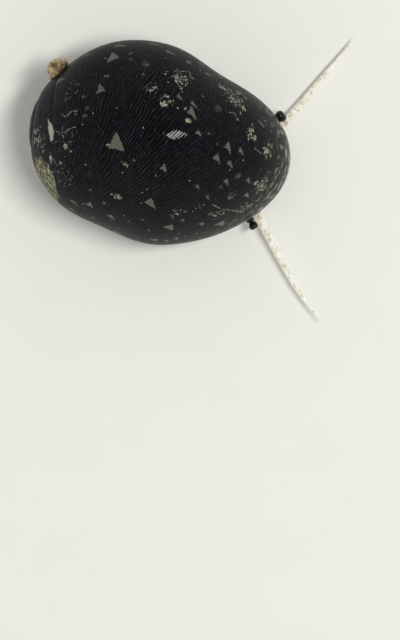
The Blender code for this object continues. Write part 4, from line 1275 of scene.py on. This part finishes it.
def snout_loft():
    """The muzzle, with a shallow notch between its two lobes."""
    rings = []
    middle_z = (SNOUT_BOTTOM + SNOUT_TOP) / 2
    half_height = (SNOUT_TOP - SNOUT_BOTTOM) / 2 - SKIN_INSET
    notch_depth, notch_width = SNOUT_NOTCH
    for share in SNOUT_STATIONS:
        y = SNOUT_BACK_Y + (SNOUT_FRONT_Y - SNOUT_BACK_Y) * share
        wide = SNOUT_HALF_WIDTH * (1.0 - share**3) ** SNOUT_BLUNTNESS - SKIN_INSET
        high = half_height * (1.0 - SNOUT_THINNING * share**2)
        ring = upright_ring(y, middle_z, wide, high, HEAD_AROUND, SNOUT_SQUARENESS)
        ring[:, 1] += notch_depth * share**2 * np.exp(-((ring[:, 0] / notch_width) ** 2))
        rings.append(ring)
    return loft(rings)


def neck_lofts():
    """Flesh that joins the head, the snout, the mantle and the foot where the solids leave gaps."""
    throat = []
    for y, wide in THROAT:
        throat.append(upright_ring(y, THROAT_LEVEL, wide, THROAT_HALF_HEIGHT, NECK_AROUND, THROAT_SQUARENESS))
    bridge = [upright_ring(*sizes, NECK_AROUND, SNOUT_SQUARENESS) for sizes in BRIDGE]
    return loft(throat), loft(bridge)


def mantle_loft():
    """The black mantle that fills the aperture behind the head and lines its edge."""
    turn = np.linspace(0.0, 2 * math.pi, MANTLE_AROUND, endpoint=False)
    rings = []
    for share in MANTLE_RINGS:
        angle = share * math.pi / 2
        level = MANTLE_DEPTH * math.sin(angle)
        scale = math.cos(angle) ** MANTLE_ROUNDING * MANTLE_WIDTH
        ring = aperture_ring(turn, LIP_THICKNESS + MANTLE_INSET, scale, level)
        ring[:, 1] = np.maximum(ring[:, 1], HEAD_BACK_Y + MANTLE_FRONT)
        ring[:, 2] = rim_plane(ring[:, 1]) + level
        rings.append(ring)
    return loft(rings)


def stalk_loft(sign):
    root = on_side(STALK_ROOT, sign)
    tip = on_side(STALK_TIP, sign)
    path = np.array([root + (tip - root) * share for share, _ in STALK_RINGS])
    return loft(tube_rings(path, [radius for _, radius in STALK_RINGS], STALK_AROUND))


def remeshed(pieces):
    """Fuses closed bodies into one skin. The voxels are set in millimetres, so the work is done large."""
    points = []
    faces = []
    for piece in pieces:
        join_piece(points, faces, piece)
    mesh = bpy.data.meshes.new("rough_skin")
    mesh.from_pydata(points, [], faces)
    rough = bpy.data.objects.new("rough_skin", mesh)
    bpy.context.scene.collection.objects.link(rough)
    fuse = rough.modifiers.new("fuse", "REMESH")
    fuse.mode = "VOXEL"
    fuse.voxel_size = SKIN_VOXEL
    graph = bpy.context.evaluated_depsgraph_get()
    fused = bpy.data.meshes.new_from_object(rough.evaluated_get(graph))
    bpy.data.objects.remove(rough)
    return fused


def relaxed(points, edges, hold, rounds):
    """Eases creases: each point moves towards the middle of its neighbours, less where hold is near 1."""
    counts = np.bincount(edges.ravel(), minlength=len(points))[:, None]
    for _ in range(rounds):
        total = np.zeros_like(points)
        np.add.at(total, edges[:, 0], points[edges[:, 1]])
        np.add.at(total, edges[:, 1], points[edges[:, 0]])
        points = points + (total / counts - points) * 0.5 * (1.0 - hold)[:, None]
    return points


def distance_to(path, points):
    """Distance from each point to the nearest knot of a path."""
    best = np.full(len(points), OUT_OF_REACH)
    for knot in path:
        best = np.minimum(best, np.linalg.norm(points - knot, axis=1))
    return best


def mark_skin(made):
    """Works out where the skin is pale, lined, black or tan, and stores each as a field."""
    points = points_of(made)
    normals = normals_of(made)
    feeler = np.zeros(len(points))
    for path in (LEFT_TENTACLE, RIGHT_TENTACLE):
        gap = distance_to(smooth_curve(path, FEELER_SAMPLES), points)
        feeler = np.maximum(feeler, 1.0 - smoothstep(*FEELER_REACH, gap))
    keep_field(made, "feeler", feeler)
    keep_field(made, "middle", smoothstep(*UPPER_SIDE, normals[:, 2]))
    x, y, z = points.T
    keep_field(made, "face", smoothstep(*FACE_Y, y) * smoothstep(*FACE_LEVELS, z))
    keep_field(made, "sole", smoothstep(*SOLE_LEVELS, z) * smoothstep(*SOLE_FACING, normals[:, 2]))
    edge = sole_half_width(y) - np.abs(x)
    keep_field(made, "margin", smoothstep(*SKIRT_WIDTHS, edge) * smoothstep(*SKIRT_LEVELS, z))
    black = smoothstep(*MANTLE_LEVELS, z) * smoothstep(*MANTLE_Y, y)
    for sign in (1.0, -1.0):
        away = np.linalg.norm(points - on_side(STALK_TIP, sign), axis=1)
        black = np.maximum(black, 1.0 - smoothstep(*STALK_REACH, away))
    keep_field(made, "black", black)
    across, down = in_picture(points)
    tan = np.zeros(len(points))
    for place_across, place_down in TAN_PLACES:
        away = np.hypot(across - place_across, down - place_down)
        tan = np.maximum(tan, TAN_STRENGTH - TAN_STRENGTH * smoothstep(*TAN_REACH, away))
    keep_field(made, "tan", tan)


def eased_skin(mesh):
    """The fused skin's points with its creases eased, but less along the thin feelers."""
    points = vectors_of(mesh.vertices, "co")
    edges = np.empty(len(mesh.edges) * 2, np.int32)
    mesh.edges.foreach_get("vertices", edges)
    gap = np.full(len(points), OUT_OF_REACH)
    for path in (LEFT_TENTACLE, RIGHT_TENTACLE):
        slim = smooth_curve(path, FEELER_SAMPLES)[FEELER_ROOT_SAMPLES:]
        gap = np.minimum(gap, distance_to(slim, points))
    hold = FEELER_HOLD * (gap < FEELER_HOLD_REACH)
    points = relaxed(points, edges.reshape(-1, 2), hold, SKIN_ROUNDS)
    points[:, 2] = np.maximum(points[:, 2], 0.0)
    return points


def make_skin():
    """One skin over all of the flesh, so that no seam shows."""
    pieces = [head_loft(), snout_loft(), *neck_lofts(), mantle_loft(), stalk_loft(1.0), stalk_loft(-1.0)]
    pieces.append(tentacle_loft(LEFT_TENTACLE, 1.0))
    pieces.append(tentacle_loft(RIGHT_TENTACLE, -1.0))
    reach = SOLE_HALF_LENGTH * SOLE_REACH
    stations = np.linspace(SOLE_MIDDLE_Y - reach, SOLE_MIDDLE_Y + reach, FOOT_STATIONS)
    pieces.append(loft([foot_section(y) for y in stations]))
    mesh = remeshed(pieces)
    mesh.name = "snail_body"
    mesh.vertices.foreach_set("co", (eased_skin(mesh) * MM).astype(np.float32).ravel())
    mesh.update()
    mesh.shade_smooth()
    made = bpy.data.objects.new("snail_body", mesh)
    bpy.context.scene.collection.objects.link(made)
    mesh.materials.clear()
    mesh.materials.append(wet_skin())
    mark_skin(made)
    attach(made, "root")
    flesh = ("foot", "propodium", "head", "snout", "mantle", "eye_stalk_left", "eye_stalk_right")
    feelers = [f"tentacle_{side}_{part}" for side in ("left", "right") for part in ("base", "middle", "tip")]
    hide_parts(*flesh, *feelers)


def eye_loft(middle, ahead, size):
    """A ball that bulges a little on two sides, as a stalked eye does."""
    round_lobe, long_lobe = LOBE_DEPTHS
    turns = np.linspace(-EYE_END, EYE_END, EYE_RINGS)
    path = np.array([middle + ahead * size * math.sin(angle) for angle in turns])
    rings = tube_rings(path, [size * math.cos(angle) for angle in turns], EYE_AROUND)
    swing = np.linspace(0.0, 2 * math.pi, EYE_AROUND, endpoint=False)
    for ring, angle in zip(rings, turns):
        lobes = 1.0 + round_lobe * np.cos(2 * swing + LOBE_TURN) * math.cos(angle)
        lobes = lobes + long_lobe * math.sin(3 * angle)
        ring[:] = middle + (ring - middle) * lobes[:, None]
    return loft(rings)


def make_eyes():
    for side, sign in (("left", 1.0), ("right", -1.0)):
        root = on_side(STALK_ROOT, sign)
        tip = on_side(STALK_TIP, sign)
        ahead = (tip - root) / np.linalg.norm(tip - root)
        middle = tip + ahead * (EYE_GAP + EYE_RADIUS - EYE_SINK)
        made = mesh_object(f"eyeball_{side}", *eye_loft(middle, ahead, EYE_RADIUS * EYE_LOBES[side]), wet_eye())
        face_outwards(made)
        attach(made, "root")
        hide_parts(f"eye_{side}")


def make_operculum():
    """The D-shaped trapdoor on the tail: a low dome, with its rings of growth standing out a little."""
    turn = np.linspace(0.0, 2 * math.pi, OPERCULUM_AROUND, endpoint=False)
    forward = np.sin(turn) * np.where(np.sin(turn) > 0, 1.0, OPERCULUM_BACK)
    rings = []
    marks = []
    edge, rise = OPERCULUM_TOP
    scales = np.linspace(OPERCULUM_TOP_FROM, 0.0, OPERCULUM_TOP_RINGS)
    top = [(scale, edge + rise * (1.0 - scale**2)) for scale in scales]
    for scale, share in (*OPERCULUM_SIDE, *top):
        mark = 0.5 - 0.5 * math.cos(2 * math.pi * OPERCULUM_RIDGES * scale)
        lift = OPERCULUM_RIDGE_HEIGHT * mark if share >= edge else 0.0
        count = OPERCULUM_AROUND if scale > 0 else 1
        x = OPERCULUM_MIDDLE[0] + OPERCULUM_HALF_WIDTH * scale * np.cos(turn[:count])
        y = OPERCULUM_MIDDLE[1] + OPERCULUM_HALF_LENGTH * scale * forward[:count]
        z = np.full(count, OPERCULUM_LEVEL + OPERCULUM_THICKNESS * (share + lift))
        rings.append(np.stack([x, y, z], -1))
        marks.extend([mark] * count)
    made = mesh_object("operculum_lid", *loft(rings), chalky_horn())
    face_outwards(made)
    keep_field(made, "ring", marks)
    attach(made, "root")
    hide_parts("operculum")


def tuft_root():
    """The place on the shell from which the weed grows."""
    widest = float(widest_level(TUFT_TURN))
    share = (TUFT_LEVEL - widest) / (SHELL_HEIGHT - widest)
    fall = 1.0 - math.asin(max(-1.0, min(1.0, share))) / (math.pi / 2)
    return shell_surface(np.array(TUFT_TURN), np.array(fall))


class Tuft:
    """The weed's clump: the directions round its root, and the points and faces of its strands and grains."""

    def __init__(self):
        self.root = tuft_root()
        self.outward = np.array([math.cos(TUFT_TURN), math.sin(TUFT_TURN), 0.0])
        self.sideways = np.array([-self.outward[1], self.outward[0], 0.0])
        self.upward = np.array([0.0, 0.0, 1.0])
        self.points = []
        self.faces = []
        self.shade_heights = []
        self.places = []

    def add(self, rings, start):
        """Adds a strand or a grain, with each ring's height along it, which sets its painted shade, and the place
        where it starts.
        """
        piece = loft(rings)
        join_piece(self.points, self.faces, piece)
        self.shade_heights.extend(np.repeat(np.linspace(0.0, 1.0, len(rings)), len(rings[0])))
        self.places.extend([start] * len(piece[0]))


def add_strand(tuft, rng):
    """A thin curved filament from the shell outwards."""
    spread = rng.normal(0.0, TUFT_SPREAD, 2)
    start = tuft.root + tuft.sideways * (spread[0] + TUFT_SHIFT) * TUFT_SIZE[0]
    start = start + tuft.upward * spread[1] * TUFT_SIZE[1] - tuft.outward * STRAND_DEPTH
    fan_aside, fan_up = STRAND_FAN
    stray_aside, stray_up = STRAND_STRAY
    aim = tuft.outward * rng.uniform(*STRAND_AIM)
    aim = aim + tuft.sideways * rng.normal(spread[0] * fan_aside + STRAND_LEAN, stray_aside)
    aim = aim + tuft.upward * rng.normal(spread[1] * fan_up, stray_up)
    curl = rng.normal(0.0, STRAND_CURL, 3)
    length = rng.uniform(*STRAND_LENGTHS)
    steps = np.linspace(0.0, 1.0, STRAND_RINGS)
    path = np.array([start + aim * length * step + curl * step**2 * length for step in steps])
    radii = [rng.uniform(*STRAND_RADII) * (1.0 - STRAND_THINNING * step) for step in steps]
    tuft.add(tube_rings(path, radii, STRAND_AROUND), start)


def add_grain(tuft, rng):
    """An uneven grain of silt, caught between the strands."""
    offset = rng.normal(0.0, 1.0, 3)
    offset = offset / np.linalg.norm(offset) * rng.uniform(*GRAIN_SHELL)
    middle = tuft.root + tuft.outward * (GRAIN_OUTWARD[0] + GRAIN_OUTWARD[1] * offset[0])
    middle = middle + tuft.sideways * (TUFT_SHIFT + offset[1] * GRAIN_SIDEWAYS)
    middle = middle + tuft.upward * min(offset[2], GRAIN_TOP) * GRAIN_UPWARD
    size = rng.uniform(*GRAIN_RADII)
    rings = []
    for height, wide in GRAIN_OUTLINE:
        radius = size * wide * rng.uniform(*GRAIN_UNEVENNESS)
        place = middle + tuft.upward * size * height
        rings.append(oval_ring(place, tuft.sideways, tuft.outward, radius, radius, GRAIN_AROUND))
    tuft.add(rings, middle)


def make_tuft():
    """Curved filaments, thin and overlapping, with grains of silt between them."""
    rng = np.random.default_rng(TUFT_SEED)
    tuft = Tuft()
    for _ in range(STRANDS):
        add_strand(tuft, rng)
    for _ in range(GRAINS):
        add_grain(tuft, rng)
    made = mesh_object("weed_tuft", tuft.points, tuft.faces, silty_weed())
    # The strand field is painted shade: each ring's height, lowered near the clump's shaded middle.
    shade_middle = tuft.root + tuft.outward * TUFT_SHADE_MIDDLE[0] + tuft.sideways * TUFT_SHADE_MIDDLE[1]
    aside = np.hypot(*(points_of(made) - shade_middle)[:, :2].T)
    keep_field(made, "strand", np.array(tuft.shade_heights) * smoothstep(*TUFT_SHADE, aside))
    patch_map(made, tuft)
    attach(made, "root")
    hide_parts("shell_tuft")


def patch_map(made, tuft):
    """Gives each strand a tiny patch of the OFBake map, at its root's place on the clump."""
    places = np.array(tuft.places)
    flat_u = 0.5 + (places - tuft.root) @ tuft.sideways / TUFT_MAP_WIDTH
    flat_v = 0.5 + (places - tuft.root)[:, 2] / TUFT_MAP_WIDTH
    spread = (points_of(made) - places) * STRAND_MAP_SIZE
    slant = spread[:, 1] * STRAND_MAP_SLANT
    corners = corner_vertices(made.data)
    flat = np.stack([flat_u + spread[:, 0] + slant, flat_v + spread[:, 2] + slant], 1)[corners]
    layer = made.data.uv_layers.new(name="OFBake")
    layer.data.foreach_set("uv", flat.astype(np.float32).ravel())


def make_floor():
    count = FLOOR_CELLS + 1
    steps = np.linspace(-FLOOR_HALF_WIDTH, FLOOR_HALF_WIDTH, count)
    points = [(x, y, 0.0) for y in steps for x in steps]
    starts = [row * count + column for row in range(FLOOR_CELLS) for column in range(FLOOR_CELLS)]
    faces = [(start, start + 1, start + count + 1, start + count) for start in starts]
    floor = mesh_object("pale_floor", points, faces, pale_board())


def picture_axes():
    """Picture right and picture up, on the floor."""
    right = np.array([math.sin(HEADING), -math.cos(HEADING), 0.0])
    up = np.array([math.cos(HEADING), math.sin(HEADING), 0.0])
    return right, up


def add_area(name, place, aim, size, roll, power, colour):
    data = bpy.data.lights.new(name, "AREA")
    data.shape = "RECTANGLE"
    data.size = size[0] * MM
    data.size_y = size[1] * MM
    data.energy = power
    data.color = linear(colour)[:3]
    made = bpy.data.objects.new(name, data)
    made.location = [value * MM for value in place]
    direction = np.array(aim, float) - np.array(place, float)
    turn = Vector(direction).to_track_quat("-Z", "Y") @ Quaternion((0.0, 0.0, 1.0), roll)
    made.rotation_euler = turn.to_euler()
    bpy.context.scene.collection.objects.link(made)


def make_light():
    """A small soft key from the picture's right, and a pale room that is brightest near the horizon."""
    right, _ = picture_axes()
    key = right * KEY_ASIDE + np.array([0.0, 0.0, KEY_HEIGHT])
    add_area("key_window", key, KEY_AIM, KEY_SIZE, KEY_ROLL, KEY_POWER, "#fffdf8")
    world = bpy.data.worlds.new("soft_room")
    world.use_nodes = True
    tree = world.node_tree
    tree.nodes.clear()
    place = add_node(tree, "TexCoord").outputs["Generated"]
    height = add_node(tree, "SeparateXYZ", {0: place}).outputs["Z"]
    strength = add_node(tree, "MapRange", {0: height, 3: ROOM_HORIZON, 4: ROOM_ZENITH})
    back = add_node(tree, "Background", {"Color": "#faf8f1", "Strength": strength})
    add_node(tree, "OutputWorld", {"Surface": back})
    bpy.context.scene.world = world
    bpy.context.scene.view_settings.view_transform = "Standard"


def camera_foot():
    """The point of the floor under the camera."""
    right, up = picture_axes()
    aside = (FRAME_PIXELS[0] / 2 - SHELL_PIXEL[0]) * MM_PER_PIXEL
    above = (SHELL_PIXEL[1] - FRAME_PIXELS[1] / 2) * MM_PER_PIXEL
    return right * aside + up * above


def make_camera():
    """It looks straight down, turned so that the snail heads as it does in the picture."""
    right, _ = picture_axes()
    middle = camera_foot()
    data = bpy.data.cameras.new("straight_down")
    data.sensor_fit = "VERTICAL"
    data.sensor_height = SENSOR
    data.lens = SENSOR * (CAMERA_HEIGHT - FOCUS_LEVEL) / (FRAME_PIXELS[1] * MM_PER_PIXEL)
    data.clip_start, data.clip_end = CAMERA_CLIP
    made = bpy.data.objects.new("straight_down", data)
    made.location = (middle[0] * MM, middle[1] * MM, CAMERA_HEIGHT * MM)
    made.rotation_euler = (0.0, 0.0, math.atan2(right[1], right[0]))
    bpy.context.scene.collection.objects.link(made)
    bpy.context.scene.camera = made


make_shell()
make_skin()
make_eyes()
make_operculum()
make_tuft()
make_floor()
make_light()
make_camera()
